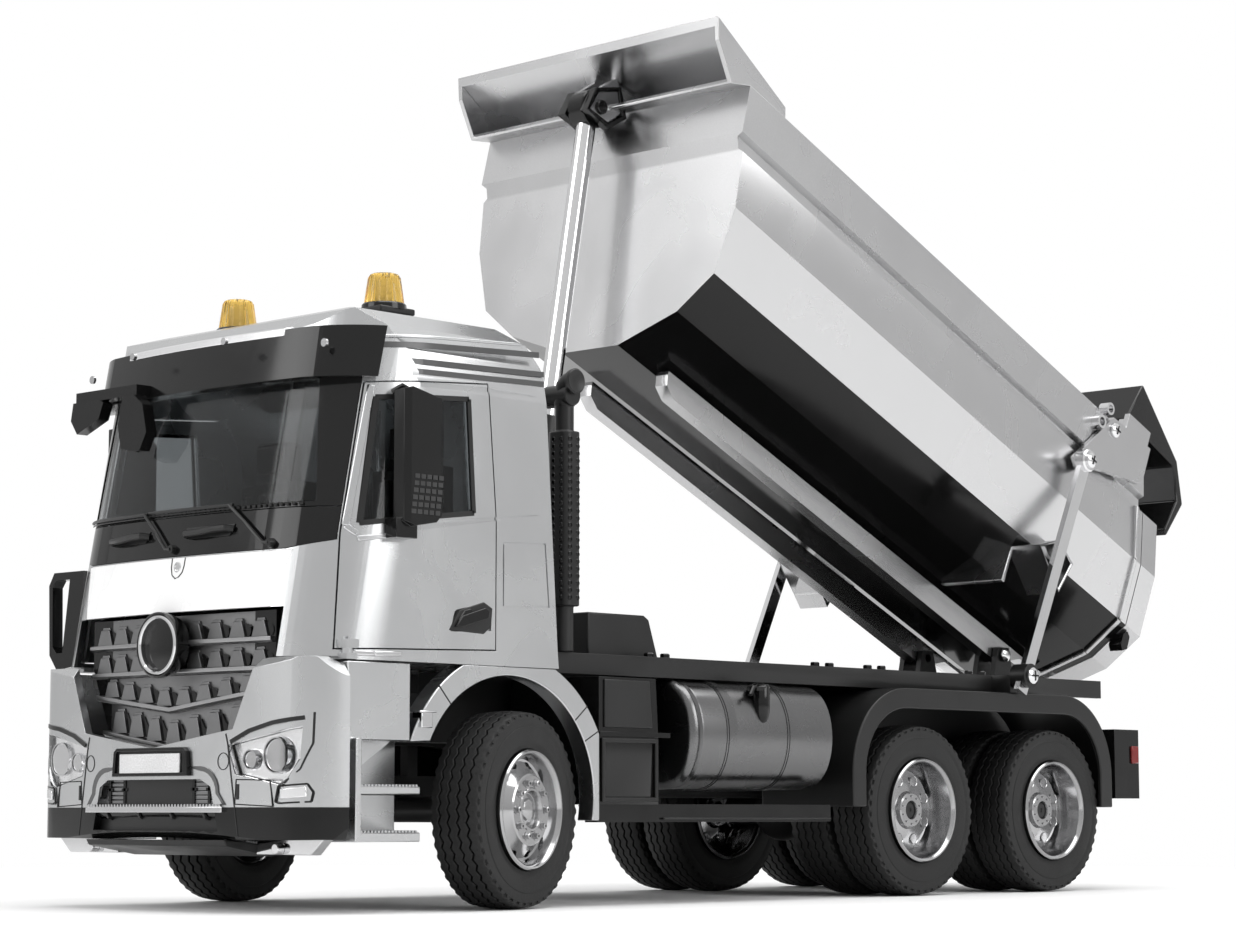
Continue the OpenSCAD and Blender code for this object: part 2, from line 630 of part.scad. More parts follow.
module tub_solid(y0, y1) intersection() {
    along_y(y0, y1 - y0) polygon(both_sides(bed_half));
    along_x(-80, 160) polygon(bed_outline);
}
module bed_tub() color("silver") on_bed() {
    tub_shell();
    // Pins that the tailgate's cranks swing on
    both() rod_x(half - 1, 3.2, gate_pin[0], gate_pin[1], pin_d / 2);
}
module tub_shell() difference() {
    tub_solid(bed_front - 30, rear_y + 5);
    intersection() {
        along_y(bed_front - 40, 400) polygon(both_sides(inset_open(bed_inner)));
        along_x(-80, 160) polygon([[bed_front + bed_wall, bed_z - 1], [rear_y + 60, bed_z - 1],
            [rear_y + 60, bed_top + 20], [bed_front - 24 + bed_wall, bed_top + 20],
            [bed_front - 15.4 + bed_wall, bed_z + 54.3]]);
    }
    // Rebate that the tailgate's lower lip closes on
    box([-20, 20], [rear_y - 3, rear_y + 1], [bed_z + bed_wall - 0.3, bed_z + 4]);
}
// Inner line of the bed's section, one wall in from the outer line
function inset_open(p) = let (q = inset(both_sides(p), bed_wall))
    [for (i = [0 : len(p) - 1]) i == len(p) - 1 ? [q[i][0], bed_top + 8] : q[i]];

module bed_canopy() color("silver") on_bed() {
    difference() {
        along_x(-half, bed_w) polygon([[bed_front - 21, bed_top], [bed_front - 28.6, bed_top - 4.2],
            [bed_front - 39, bed_top + 4.8], [bed_front - 42.4, bed_top + 11.4],
            [bed_front - 4.3, bed_top + 3.2], [bed_front - 3, bed_top]]);
        along_x(-half + bed_wall, bed_w - 2 * bed_wall) polygon([[bed_front - 19, bed_top + 1.6],
            [bed_front - 28.6, bed_top - 2], [bed_front - 30, bed_top - 6], [bed_front - 45, bed_top + 2],
            [bed_front - 40.6, bed_top + 9.2], [bed_front - 6, bed_top + 1.7]]);
        // Room for the eye of the ram between its ears
        rod_x(-3.6, 7.2, ram_pin[0], ram_pin[1], 8.6);
    }
    // Ears for the ram's pin
    for (x = [-5.6, 3.6]) along_x(x, 2) polygon([[ram_pin[0] - 4, ram_pin[1] - 4],
        [ram_pin[0] + 4, ram_pin[1] - 4], [bed_front - 23.8, bed_top - 2.4], [bed_front - 22, bed_top + 1.8],
        [bed_front - 30, bed_top + 7.4], [ram_pin[0] - 4, ram_pin[1] + 4]]);
    rod_x(-5.6, 11.2, ram_pin[0], ram_pin[1], 1.2);
}

module bed_rails() color("silver") on_bed() both() difference() {
    union() {
        along_x(rail_x[0], rail_x[1] - rail_x[0]) polygon([[bed_front + 17.5, bed_z - 1.2],
            [bed_front + 18.5, bed_z - 4.6], [bed_front + 23, bed_z - 7.2], [hinge_y, bed_z - 8.2],
            [hinge_y + 3, bed_z - 7], [hinge_y + 12, bed_z - 1.2]]);
        along_x(rail_x[0], rail_x[1] - rail_x[0]) polygon([[bed_front + 17.5, bed_z - 1.3],
            [rear_y - 8, bed_z - 1.3], [rear_y - 8, bed_z - 0.02], [bed_front + 17.5, bed_z - 0.02]]);
    }
    rod_x(0, 40, hinge_y, hinge_z, pin_d / 2 + run);
}

gate_t = 9.6;
module tailgate() color("silver") on_bed() {
    difference() {
        intersection() {
            along_y(rear_y - 60, 100) polygon(both_sides([for (i = [0, 1, 2, 3, 4]) bed_half[i]]));
            along_x(-80, 160) polygon([[rear_y + 0.4, bed_z], [rear_y + gate_t, bed_z],
                [rear_y + gate_t - 0.4 * 61, bed_z + 61], [rear_y + 0.4 - 0.4 * 61, bed_z + 61]]);
        }
        intersection() {
            along_y(rear_y - 60, 100) polygon(inset(both_sides([for (i = [0, 1, 2, 3, 4]) bed_half[i]]), 3));
            along_x(-80, 160) polygon([[rear_y + 3, bed_z], [rear_y + gate_t + 1, bed_z],
                [rear_y + gate_t + 1 - 0.4 * 61, bed_z + 61], [rear_y + 3 - 0.4 * 61, bed_z + 61]]);
        }
    }
    both() {
        // Bell-crank plate outside the bed, with the hinge's bore
        difference() {
            along_x(half + 0.4, 2) polygon([[link_pin[0] - 3.4, link_pin[1]], [link_pin[0] + 1, link_pin[1] - 3.6],
                [link_pin[0] + 6, link_pin[1] + 1], [gate_pin[0] + 22, gate_pin[1] - 9],
                [gate_pin[0] + 22, gate_pin[1] + 5], [gate_pin[0] - 2, gate_pin[1] + 4.2]]);
            rod_x(half, 4, gate_pin[0], gate_pin[1], pin_d / 2 + run);
        }
        box([half - 4, half + 0.4 + eps], [gate_pin[0] + 9, gate_pin[0] + 20], [bed_top + 1, bed_top + 6]);
        box([half + 0.4, half + 2.4], [gate_pin[0] + 6, gate_pin[0] + 20], [bed_top - 2, bed_top + 6]);
    }
}
module tailgate_hood() color("#303030") on_bed() along_x(-half + 1, bed_w - 2) polygon([
    [gate_pin[0] + 9, bed_top + 6.1], [gate_pin[0] + 20, bed_top + 6.1], [hinge_y + 23, bed_top + 5],
    [hinge_y + 29.5, bed_top - 6], [hinge_y + 26.5, bed_top - 19], [hinge_y + 28.5, bed_top - 20.5],
    hood_tip, [hinge_y + 24.6, bed_top + 7.6], [hinge_y - 4.7, bed_top + 22.6]]);

// ---- ram and links ----

ram_top = tipped(ram_pin);
ram_rest = angle_of(ram_base, ram_top);
ram_len = norm(ram_top - ram_base);
ram_short = norm(ram_pin - ram_base);
tube_r = ram_rod_d / 2 + 1.9;
module ram_place() on_truck() translate([0, ram_base[0], ram_base[1]]) rotate([ram_rest - 90, 0, 0]) children();
module ram_tube() color("#262626") ram_place() {
    difference() {
        union() {
            translate([0, 0, 4]) cylinder(r = tube_r, h = ram_short - 8 - 4);
            rod_x(-7, 14, 0, 0, 5);
            box([-5, 5], [-4, 4], [0, 8]);
        }
        translate([0, 0, 5]) cylinder(r = ram_rod_d / 2 + run, h = 200);
    }
    rod_x(-frame_w / 2 - 1, frame_w + 2, 0, 0, pin_d / 2);
}
module ram_rod() color("gainsboro") ram_place() difference() {
    union() {
        translate([0, 0, ram_len - (ram_short - 6)]) cylinder(r = ram_rod_d / 2, h = ram_short - 11);
        rod_x(-3.3, 6.6, 0, ram_len, 5.4);
    }
    rod_x(-10, 20, 0, ram_len, 3.6);
}

link_top = tipped(link_pin);
link_rest = angle_of(link_foot, link_top);
link_len = norm(link_top - link_foot);
link_short = norm(link_pin - link_foot);
slack = 0.15;
module link_place(s) on_truck() side(s) translate([link_x, link_foot[0], link_foot[1]])
    rotate([link_rest - 90, 0, 0]) children();
module link_bar(s) color("gainsboro") link_place(s) {
    box([0, bar_t], [-2.4, 2.4], [-6, link_len]);
    rod_x(0, bar_t + 1, 0, link_len, 3.6);
}
module link_foot(s) color("#404040") link_place(s) {
    difference() {
        rod_x(-0.3 - 2, bar_t + 4, 0, 0, 4);
        box([-slack, bar_t + slack], [-2.4 - slack, 2.4 + slack], [-20, 20]);
        rod_x(-5, 4.9, 0, 0, 1.2 + run);
    }
}

on_truck() chassis_frame();
on_truck() axles();
on_truck() leaf_springs();
on_truck() driveline();
on_truck() deck_plate();
on_truck() deck_box();
on_truck() air_stack();
on_truck() front_bumper();
on_truck() bumper_insert();
on_truck() headlamps();
on_truck() skid_plate();
on_truck() grille();
on_truck() badge();
on_truck() front_panel();
on_truck() cowl();
on_truck() cab_trim();
on_truck() cab_shell();
on_truck() windscreen();
on_truck() sun_visor();
on_truck() beacon_bases();
on_truck() beacons();
on_truck() front_mirrors();
on_truck() cab_steps();
on_truck() wheel_arches();
on_truck() dashboard();
on_truck() seats();
on_truck() side_boxes();
on_truck() fuel_tanks();
on_truck() rear_mudguards();
on_truck() door(1);  // door_left
on_truck() door_glass(1);  // door_left_glass
on_truck() mirror_arm(1);  // mirror_left
on_truck() door(-1);  // door_right
on_truck() door_glass(-1);  // door_right_glass
on_truck() mirror_arm(-1);  // mirror_right
on_truck() knuckle(1);  // knuckle_left
on_truck() knuckle(-1);  // knuckle_right
on_truck() front_rim(1);  // front_left_rim
on_truck() front_tyre(1);  // front_left_tyre
on_truck() front_rim(-1);  // front_right_rim
on_truck() front_tyre(-1);  // front_right_tyre
on_truck() rear_rims(axle_ys[0], 1);  // middle_left_rims
on_truck() rear_tyres(axle_ys[0], 1);  // middle_left_tyres
on_truck() rear_rims(axle_ys[0], -1);  // middle_right_rims
on_truck() rear_tyres(axle_ys[0], -1);  // middle_right_tyres
on_truck() rear_rims(axle_ys[1], 1);  // rear_left_rims
on_truck() rear_tyres(axle_ys[1], 1);  // rear_left_tyres
on_truck() rear_rims(axle_ys[1], -1);  // rear_right_rims
on_truck() rear_tyres(axle_ys[1], -1);  // rear_right_tyres
bed_tub();
bed_canopy();
bed_rails();
tailgate();
tailgate_hood();
ram_tube();
ram_rod();
link_foot(1);  // link_foot_left
link_bar(1);  // link_bar_left
link_foot(-1);  // link_foot_right
link_bar(-1);  // link_bar_right
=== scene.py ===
import json
import math

import bmesh
import bpy
from mathutils import Matrix, Vector


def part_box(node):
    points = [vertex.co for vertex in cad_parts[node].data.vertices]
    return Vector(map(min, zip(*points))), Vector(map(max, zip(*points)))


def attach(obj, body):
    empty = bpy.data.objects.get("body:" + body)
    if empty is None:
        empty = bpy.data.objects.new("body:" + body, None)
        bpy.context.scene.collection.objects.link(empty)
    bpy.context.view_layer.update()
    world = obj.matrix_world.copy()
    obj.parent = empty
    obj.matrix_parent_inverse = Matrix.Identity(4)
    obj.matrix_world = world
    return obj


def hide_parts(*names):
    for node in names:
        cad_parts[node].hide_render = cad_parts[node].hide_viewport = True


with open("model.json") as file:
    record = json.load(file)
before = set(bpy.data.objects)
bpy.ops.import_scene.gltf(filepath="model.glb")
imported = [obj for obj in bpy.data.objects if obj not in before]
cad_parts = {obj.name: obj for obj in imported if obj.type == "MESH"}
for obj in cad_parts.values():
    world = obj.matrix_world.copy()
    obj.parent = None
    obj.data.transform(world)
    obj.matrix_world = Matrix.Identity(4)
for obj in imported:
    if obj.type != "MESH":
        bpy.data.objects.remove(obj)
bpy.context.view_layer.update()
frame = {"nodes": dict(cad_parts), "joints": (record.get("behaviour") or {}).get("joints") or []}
mm = 0.001
print("frame loaded")

joint = {j["name"]: j for j in frame["joints"]}
bedTilt = math.radians(-joint["bed_tip"]["range_deg"][0])
bedHinge = Vector(joint["bed_tip"]["pos_m"])
frontAxleY = joint["steer_left"]["pos_m"][1]
mergeDistance = 0.002  # mm
cadWeld, flatAngle = 1e-7, 0.4  # metres, degrees
edgeSegments, edgeAngle = 2, 40
inMetres = Matrix.Scale(mm, 4)
# pieces are drawn in mm from the front axle, bed pieces in the lowered bed
truckPlace = Matrix.Translation((0, frontAxleY, 0)) @ inMetres
bedPlace = (Matrix.Translation(bedHinge) @ Matrix.Rotation(-bedTilt, 4, "X")
            @ Matrix.Translation(-bedHinge) @ truckPlace)


def skin(bm, rings, loop=True, caps=(0, -1)):
    # faces between neighbouring rings, and over the named end rings
    count = len(rings[0])
    for a, b in zip(rings, rings[1:]):
        for k in range(count if loop else count - 1):
            bm.faces.new((a[k], a[(k + 1) % count], b[(k + 1) % count], b[k]))
    for k in caps:
        bm.faces.new(rings[k])


def prism(bm, outline, axis, low, high):
    # outline in the two other axes, drawn out along the named one
    def corner(p, along):
        return {"X": (along, p[0], p[1]), "Y": (p[0], along, p[1]), "Z": (p[0], p[1], along)}[axis]
    skin(bm, [[bm.verts.new(corner(p, along)) for p in outline] for along in (low, high)])


def block(bm, x, y, z):
    prism(bm, [(x[0], y[0]), (x[1], y[0]), (x[1], y[1]), (x[0], y[1])], "Z", z[0], z[1])


def turned(bm, profile, centre=(0, 0, 0), axis="X", steps=48):
    # profile of (along, radius) points turned round the axis
    rings = []
    for along, radius in profile:
        ring = []
        for k in range(steps if radius > 0 else 1):
            a = 2 * math.pi * k / steps
            u, v = radius * math.cos(a), radius * math.sin(a)
            p = {"X": (along, u, v), "Y": (u, along, v), "Z": (u, v, along)}[axis]
            ring.append(bm.verts.new(Vector(p) + Vector(centre)))
        rings.append(ring)
    for a, b in zip(rings, rings[1:]):
        for k in range(steps):
            corners = [a[k % len(a)], a[(k + 1) % len(a)], b[(k + 1) % len(b)], b[k % len(b)]]
            corners = list(dict.fromkeys(corners))
            if len(corners) > 2:
                bm.faces.new(corners)
    if profile[0] != profile[-1]:
        for ring in (rings[0], rings[-1]):
            if len(ring) > 1:
                bm.faces.new(ring)


def closedProfile(profile):
    return profile + [profile[0]]


def outlineBand(outline, width):
    # the outline and the same outline moved inwards
    count = len(outline)
    area = sum(outline[i][0] * outline[(i + 1) % count][1] - outline[(i + 1) % count][0] * outline[i][1]
               for i in range(count))
    side = 1 if area > 0 else -1
    inner = []
    for i in range(count):
        a, b, c = (Vector(outline[(i + k) % count]) for k in (-1, 0, 1))
        d1, d2 = (b - a).normalized(), (c - b).normalized()
        n1, n2 = Vector((-d1.y, d1.x)) * side, Vector((-d2.y, d2.x)) * side
        m = (n1 + n2).normalized()
        inner.append(tuple(b + m * width / max(0.35, m.dot(n1))))
    return inner


def frameBand(bm, outline, width, axis, low, high):
    # a closed band of even width along an outline
    inner = outlineBand(outline, width)
    count = len(outline)
    for i in range(count):
        k = (i + 1) % count
        prism(bm, [outline[i], outline[k], inner[k], inner[i]], axis, low, high)


def tube(bm, points, radius, sides=10):
    # round bar along a line of points
    points = [Vector(p) for p in points]
    rings, up = [], Vector((0, 0, 1))
    for i, p in enumerate(points):
        ahead = (points[min(i + 1, len(points) - 1)] - points[max(i - 1, 0)]).normalized()
        if abs(ahead.dot(up)) > 0.95:
            up = Vector((1, 0, 0))
        right = ahead.cross(up).normalized()
        over = right.cross(ahead).normalized()
        rings.append([bm.verts.new(p + (right * math.cos(a) + over * math.sin(a)) * radius)
                      for a in (2 * math.pi * k / sides for k in range(sides))])
    skin(bm, rings)


def hexNut(bm, centre, radius, height, axis="X"):
    # six-sided nut whose edges fall away to a small flat
    turned(bm, [(0, radius), (height * 0.8, radius), (height, radius * 0.8), (height, radius * 0.45),
                (height * 0.6, radius * 0.4), (height * 0.6, 0)], centre, axis, 6)


def meshOf(bm, name, place=truckPlace):
    bmesh.ops.remove_doubles(bm, verts=bm.verts, dist=mergeDistance)
    bmesh.ops.recalc_face_normals(bm, faces=bm.faces)
    bm.transform(place)
    mesh = bpy.data.meshes.new(name)
    bm.to_mesh(mesh)
    bm.free()
    return mesh


def addPiece(name, mesh, finish, body, bevel=0, angle=32, replaces=()):
    # object with its material, rounded edges and body
    ob = bpy.data.objects.new(name, mesh)
    bpy.context.scene.collection.objects.link(ob)
    mesh.materials.clear()
    mesh.materials.append(paint[finish])
    if bevel:
        rounding = ob.modifiers.new("roundedEdges", "BEVEL")
        rounding.width = bevel * mm
        rounding.segments = edgeSegments
        rounding.limit_method = "ANGLE"
        rounding.angle_limit = math.radians(edgeAngle)
        rounding.harden_normals = False
    shaded(ob, angle)
    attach(ob, body)
    if replaces:
        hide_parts(*replaces)
    return ob


def roundedNode(node, finish, body, bevel, angle=16):
    # the node's own shape with its edges rounded, and a second tone where its rule says so
    bm = bmesh.new()
    bm.from_mesh(frame["nodes"][node].data)
    bmesh.ops.remove_doubles(bm, verts=bm.verts, dist=cadWeld)
    bmesh.ops.dissolve_limit(bm, angle_limit=math.radians(flatAngle), verts=bm.verts, edges=bm.edges)
    if node in toneRules:
        place, _, band, rule = toneRules[node]
        for z in band:
            bmesh.ops.bisect_plane(bm, geom=bm.verts[:] + bm.edges[:] + bm.faces[:],
                                   plane_co=place @ Vector((0, 0, z)),
                                   plane_no=place.to_3x3() @ Vector((0, 0, 1)))
        back = place.inverted()
        for face in bm.faces:
            centre = back @ face.calc_center_median()
            face.material_index = int(rule(centre, (back.to_3x3() @ face.normal).normalized()))
    mesh = bpy.data.meshes.new(node + "_rounded")
    bm.to_mesh(mesh)
    bm.free()
    tones = [face.material_index for face in mesh.polygons]
    ob = addPiece(node + "_rounded", mesh, finish, body, bevel, angle, replaces=(node,))
    if node in toneRules:
        mesh.materials.append(paint[toneRules[node][1]])
        mesh.polygons.foreach_set("material_index", tones)
    return ob


def shaded(ob, angle=30):
    # smooth shading with sharp edges over the angle
    mesh = ob.data
    mesh.polygons.foreach_set("use_smooth", [True] * len(mesh.polygons))
    mesh.set_sharp_from_angle(angle=math.radians(angle))
    return ob


# Geometry Nodes that lay out repeated pieces

def newTree(name, inputs):
    tree = bpy.data.node_groups.new(name, "GeometryNodeTree")
    ids = {}
    for label, kind in inputs:
        ids[label] = tree.interface.new_socket(label, in_out="INPUT", socket_type=kind).identifier
    tree.interface.new_socket("Copies", in_out="OUTPUT", socket_type="NodeSocketGeometry")
    return tree, ids


def closeTree(tree, source, points, rotation=None):
    # item on every point, made real and given its finish
    link, add = tree.links.new, tree.nodes.new
    item = add("GeometryNodeObjectInfo")
    copies = add("GeometryNodeInstanceOnPoints")
    real = add("GeometryNodeRealizeInstances")
    dress = add("GeometryNodeSetMaterial")
    sink = add("NodeGroupOutput")
    link(source.outputs["Item"], item.inputs["Object"])
    link(points, copies.inputs["Points"])
    link(item.outputs["Geometry"], copies.inputs["Instance"])
    if rotation:
        link(rotation, copies.inputs["Rotation"])
    link(copies.outputs["Instances"], real.inputs["Geometry"])
    link(real.outputs["Geometry"], dress.inputs["Geometry"])
    link(source.outputs["Finish"], dress.inputs["Material"])
    link(dress.outputs["Geometry"], sink.inputs[0])


def mathNode(tree, operation, a, b):
    node = tree.nodes.new("ShaderNodeMath")
    node.operation = operation
    for socket, value in zip(node.inputs, (a, b)):
        if isinstance(value, (int, float)):
            socket.default_value = value
        else:
            tree.links.new(value, socket)
    return node.outputs[0]


def makeAxleRing():
    # copies turned about the X axis
    tree, ids = newTree("copiesRoundAxle", [("Item", "NodeSocketObject"), ("Count", "NodeSocketInt"),
                                            ("Turn", "NodeSocketFloat"), ("Finish", "NodeSocketMaterial")])
    link, add = tree.links.new, tree.nodes.new
    source, line, index, spin = (add("NodeGroupInput"), add("GeometryNodeMeshLine"),
                                 add("GeometryNodeInputIndex"), add("ShaderNodeCombineXYZ"))
    line.inputs["Offset"].default_value = (0, 0, 0)
    link(source.outputs["Count"], line.inputs["Count"])
    step = mathNode(tree, "DIVIDE", 2 * math.pi, source.outputs["Count"])
    angle = mathNode(tree, "ADD", mathNode(tree, "MULTIPLY", index.outputs[0], step), source.outputs["Turn"])
    link(angle, spin.inputs["X"])
    closeTree(tree, source, line.outputs["Mesh"], spin.outputs[0])
    return tree, ids


def makeBowedRows():
    # rows of copies that follow a bowed front: Bow pushes them back, Rise lifts them towards the sides
    tree, ids = newTree("copiesOnBow", [
        ("Item", "NodeSocketObject"), ("Count", "NodeSocketInt"), ("Step", "NodeSocketVector"),
        ("Rows", "NodeSocketInt"), ("RowStep", "NodeSocketVector"), ("Bow", "NodeSocketFloat"),
        ("Rise", "NodeSocketFloat"), ("Finish", "NodeSocketMaterial")])
    link, add = tree.links.new, tree.nodes.new
    source = add("NodeGroupInput")
    row, column = add("GeometryNodeMeshLine"), add("GeometryNodeMeshLine")
    nest, join = add("GeometryNodeInstanceOnPoints"), add("GeometryNodeRealizeInstances")
    link(source.outputs["Count"], row.inputs["Count"])
    link(source.outputs["Step"], row.inputs["Offset"])
    link(source.outputs["Rows"], column.inputs["Count"])
    link(source.outputs["RowStep"], column.inputs["Offset"])
    link(column.outputs["Mesh"], nest.inputs["Points"])
    link(row.outputs["Mesh"], nest.inputs["Instance"])
    link(nest.outputs["Instances"], join.inputs["Geometry"])
    centre = [add("ShaderNodeVectorMath") for _ in range(2)]
    where, split, shift, move = (add("GeometryNodeInputPosition"), add("ShaderNodeSeparateXYZ"),
                                 add("ShaderNodeCombineXYZ"), add("GeometryNodeSetPosition"))
    for node, count, step in ((centre[0], "Count", "Step"), (centre[1], "Rows", "RowStep")):
        node.operation = "SCALE"
        link(source.outputs[step], node.inputs[0])
        half = mathNode(tree, "MULTIPLY", mathNode(tree, "SUBTRACT", source.outputs[count], 1), -0.5)
        link(half, node.inputs["Scale"])
    both, spot, total = (add("ShaderNodeVectorMath") for _ in range(3))
    link(centre[0].outputs[0], both.inputs[0])
    link(centre[1].outputs[0], both.inputs[1])
    link(where.outputs[0], spot.inputs[0])
    link(both.outputs[0], spot.inputs[1])
    link(spot.outputs[0], split.inputs[0])
    bow = mathNode(tree, "MULTIPLY", mathNode(tree, "MULTIPLY", split.outputs["X"], split.outputs["X"]),
                   source.outputs["Bow"])
    rise = mathNode(tree, "MULTIPLY", mathNode(tree, "ABSOLUTE", split.outputs["X"], 0),
                    source.outputs["Rise"])
    link(bow, shift.inputs["Y"])
    link(rise, shift.inputs["Z"])
    link(both.outputs[0], total.inputs[0])
    link(shift.outputs[0], total.inputs[1])
    link(join.outputs["Geometry"], move.inputs["Geometry"])
    link(total.outputs[0], move.inputs["Offset"])
    closeTree(tree, source, move.outputs["Geometry"])
    return tree, ids


axleRing = makeAxleRing()
bowedRows = makeBowedRows()


def repeated(kind, bm, finish, **values):
    # mesh of all the copies of what is drawn in bm
    item = bpy.data.objects.new("item", meshOf(bm, "item", inMetres))
    holder = bpy.data.objects.new("holder", bpy.data.meshes.new("holder"))
    for ob in (item, holder):
        bpy.context.scene.collection.objects.link(ob)
    layout = holder.modifiers.new("layout", "NODES")
    layout.node_group, ids = kind
    layout[ids["Item"]] = item
    layout[ids["Finish"]] = paint[finish]
    for label, value in values.items():
        layout[ids[label]] = value
    bpy.context.view_layer.update()
    mesh = bpy.data.meshes.new_from_object(holder.evaluated_get(bpy.context.evaluated_depsgraph_get()))
    for ob in (holder, item):
        bpy.data.objects.remove(ob)
    return mesh


def placed(mesh, place):
    mesh = mesh.copy()
    mesh.transform(place)
    return mesh


# Shader node groups

def newGroup(name, inputs, outputs):
    tree = bpy.data.node_groups.new(name, "ShaderNodeTree")
    for label, kind, value in inputs:
        socket = tree.interface.new_socket(label, in_out="INPUT", socket_type=kind)
        socket.default_value = value
    for label, kind in outputs:
        tree.interface.new_socket(label, in_out="OUTPUT", socket_type=kind)
    return tree, tree.nodes.new("NodeGroupInput"), tree.nodes.new("NodeGroupOutput")


def makeGrain():
    # fine speckle: Height for bump, Mask for colour and roughness
    tree, source, sink = newGroup("fineGrain", [("Scale", "NodeSocketFloat", 900.0)],
                                  [("Height", "NodeSocketFloat"), ("Mask", "NodeSocketFloat")])
    place = tree.nodes.new("ShaderNodeTexCoord")
    noise = tree.nodes.new("ShaderNodeTexNoise")
    noise.inputs["Detail"].default_value = 3
    spread = tree.nodes.new("ShaderNodeMapRange")
    spread.inputs["From Min"].default_value = 0.3
    spread.inputs["From Max"].default_value = 0.7
    link = tree.links.new
    link(place.outputs["Object"], noise.inputs["Vector"])
    link(source.outputs["Scale"], noise.inputs["Scale"])
    link(noise.outputs["Fac"], spread.inputs["Value"])
    link(noise.outputs["Fac"], sink.inputs["Height"])
    link(spread.outputs["Result"], sink.inputs["Mask"])
    return tree


def makeSmudge():
    # broad soft patches, as left by handling
    tree, source, sink = newGroup(
        "handlingMarks", [("Scale", "NodeSocketFloat", 30.0), ("Low", "NodeSocketFloat", 0.2),
                          ("High", "NodeSocketFloat", 0.35)], [("Roughness", "NodeSocketFloat"),
                                                               ("Mask", "NodeSocketFloat")])
    place = tree.nodes.new("ShaderNodeTexCoord")
    noise = tree.nodes.new("ShaderNodeTexNoise")
    noise.inputs["Detail"].default_value = 5
    noise.inputs["Distortion"].default_value = 0.6
    spread = tree.nodes.new("ShaderNodeMapRange")
    spread.inputs["From Min"].default_value = 0.35
    spread.inputs["From Max"].default_value = 0.65
    rough = tree.nodes.new("ShaderNodeMapRange")
    link = tree.links.new
    link(place.outputs["Object"], noise.inputs["Vector"])
    link(source.outputs["Scale"], noise.inputs["Scale"])
    link(noise.outputs["Fac"], spread.inputs["Value"])
    link(spread.outputs["Result"], rough.inputs["Value"])
    link(source.outputs["Low"], rough.inputs["To Min"])
    link(source.outputs["High"], rough.inputs["To Max"])
    link(rough.outputs["Result"], sink.inputs["Roughness"])
    link(spread.outputs["Result"], sink.inputs["Mask"])
    return tree


fineGrain = makeGrain()
handlingMarks = makeSmudge()


def placeGroup(material, tree, **values):
    node = material.node_tree.nodes.new("ShaderNodeGroup")
    node.node_tree = tree
    for label, value in values.items():
        node.inputs[label].default_value = value
    return node


def newMaterial(name, color, metallic=0.0, **sockets):
    material = bpy.data.materials.new(name)
    material.use_nodes = True
    shader = material.node_tree.nodes["Principled BSDF"]
    shader.inputs["Base Color"].default_value = (*color, 1)
    shader.inputs["Metallic"].default_value = metallic
    for label, value in sockets.items():
        shader.inputs[label.replace("_", " ")].default_value = value
    return material, shader


def addFinish(material, shader, colors, marks, grain, bump):
    # colour mottled between two tones, roughness from marks, fine bump from grain
    link = material.node_tree.links.new
    smudge = placeGroup(material, handlingMarks, Scale=marks[0], Low=marks[1], High=marks[2])
    speckle = placeGroup(material, fineGrain, Scale=grain)
    mix = material.node_tree.nodes.new("ShaderNodeMix")
    mix.data_type = "RGBA"
    mix.inputs[6].default_value = (*colors[0], 1)
    mix.inputs[7].default_value = (*colors[1], 1)
    blend = material.node_tree.nodes.new("ShaderNodeMath")
    blend.operation = "MULTIPLY"
    link(smudge.outputs["Mask"], blend.inputs[0])
    link(speckle.outputs["Mask"], blend.inputs[1])
    link(blend.outputs["Value"], mix.inputs["Factor"])
    link(mix.outputs[2], shader.inputs["Base Color"])
    link(smudge.outputs["Roughness"], shader.inputs["Roughness"])
    relief = material.node_tree.nodes.new("ShaderNodeBump")
    relief.inputs["Strength"].default_value = bump[0]
    relief.inputs["Distance"].default_value = bump[1]
    link(speckle.outputs["Height"], relief.inputs["Height"])
    link(relief.outputs["Normal"], shader.inputs["Normal"])
    return relief


# Finishes

def satinSilver():
    material, shader = newMaterial("satinSilver", (0.52, 0.52, 0.53), 1.0, Coat_Weight=0.3,
                                   Coat_Roughness=0.1)
    addFinish(material, shader, ((0.5, 0.505, 0.51), (0.53, 0.535, 0.54)), (40, 0.25, 0.29), 3000,
              (0.03, 0.00002))
    return material


def bedSilver():
    material, shader = newMaterial("bedSilver", (0.5, 0.5, 0.51), 1.0)
    addFinish(material, shader, ((0.52, 0.52, 0.525), (0.56, 0.56, 0.565)), (25, 0.24, 0.29), 2500,
              (0.03, 0.00002))
    return material


def whitePaint():
    material, shader = newMaterial("whitePaint", (0.8, 0.8, 0.8), 0.0, Coat_Weight=0.6,
                                   Coat_Roughness=0.08)
    addFinish(material, shader, ((0.76, 0.76, 0.76), (0.82, 0.82, 0.82)), (35, 0.25, 0.34), 2600,
              (0.03, 0.00002))
    return material


def blackPlastic(name, tone, low, high, bump):
    material, shader = newMaterial(name, (tone, tone, tone), Specular_IOR_Level=0.35)
    addFinish(material, shader, ((tone, tone, tone), (tone * 1.4, tone * 1.4, tone * 1.42)),
              (45, low, high), 2200, (bump, 0.00004))
    return material


def polished(name, tone, low, high):
    material, shader = newMaterial(name, (tone, tone, tone * 1.01), 1.0)
    addFinish(material, shader, ((tone, tone, tone * 1.01), (tone * 0.92, tone * 0.92, tone * 0.93)),
              (60, low, high), 2600, (0.03, 0.00002))
    return material


def tyreRubber():
    material, shader = newMaterial("tyreRubber", (0.01, 0.01, 0.01), 0.0, Specular_IOR_Level=0.35)
    addFinish(material, shader, ((0.006, 0.006, 0.006), (0.014, 0.014, 0.014)), (50, 0.5, 0.68), 1800,
              (0.25, 0.00006))
    return material


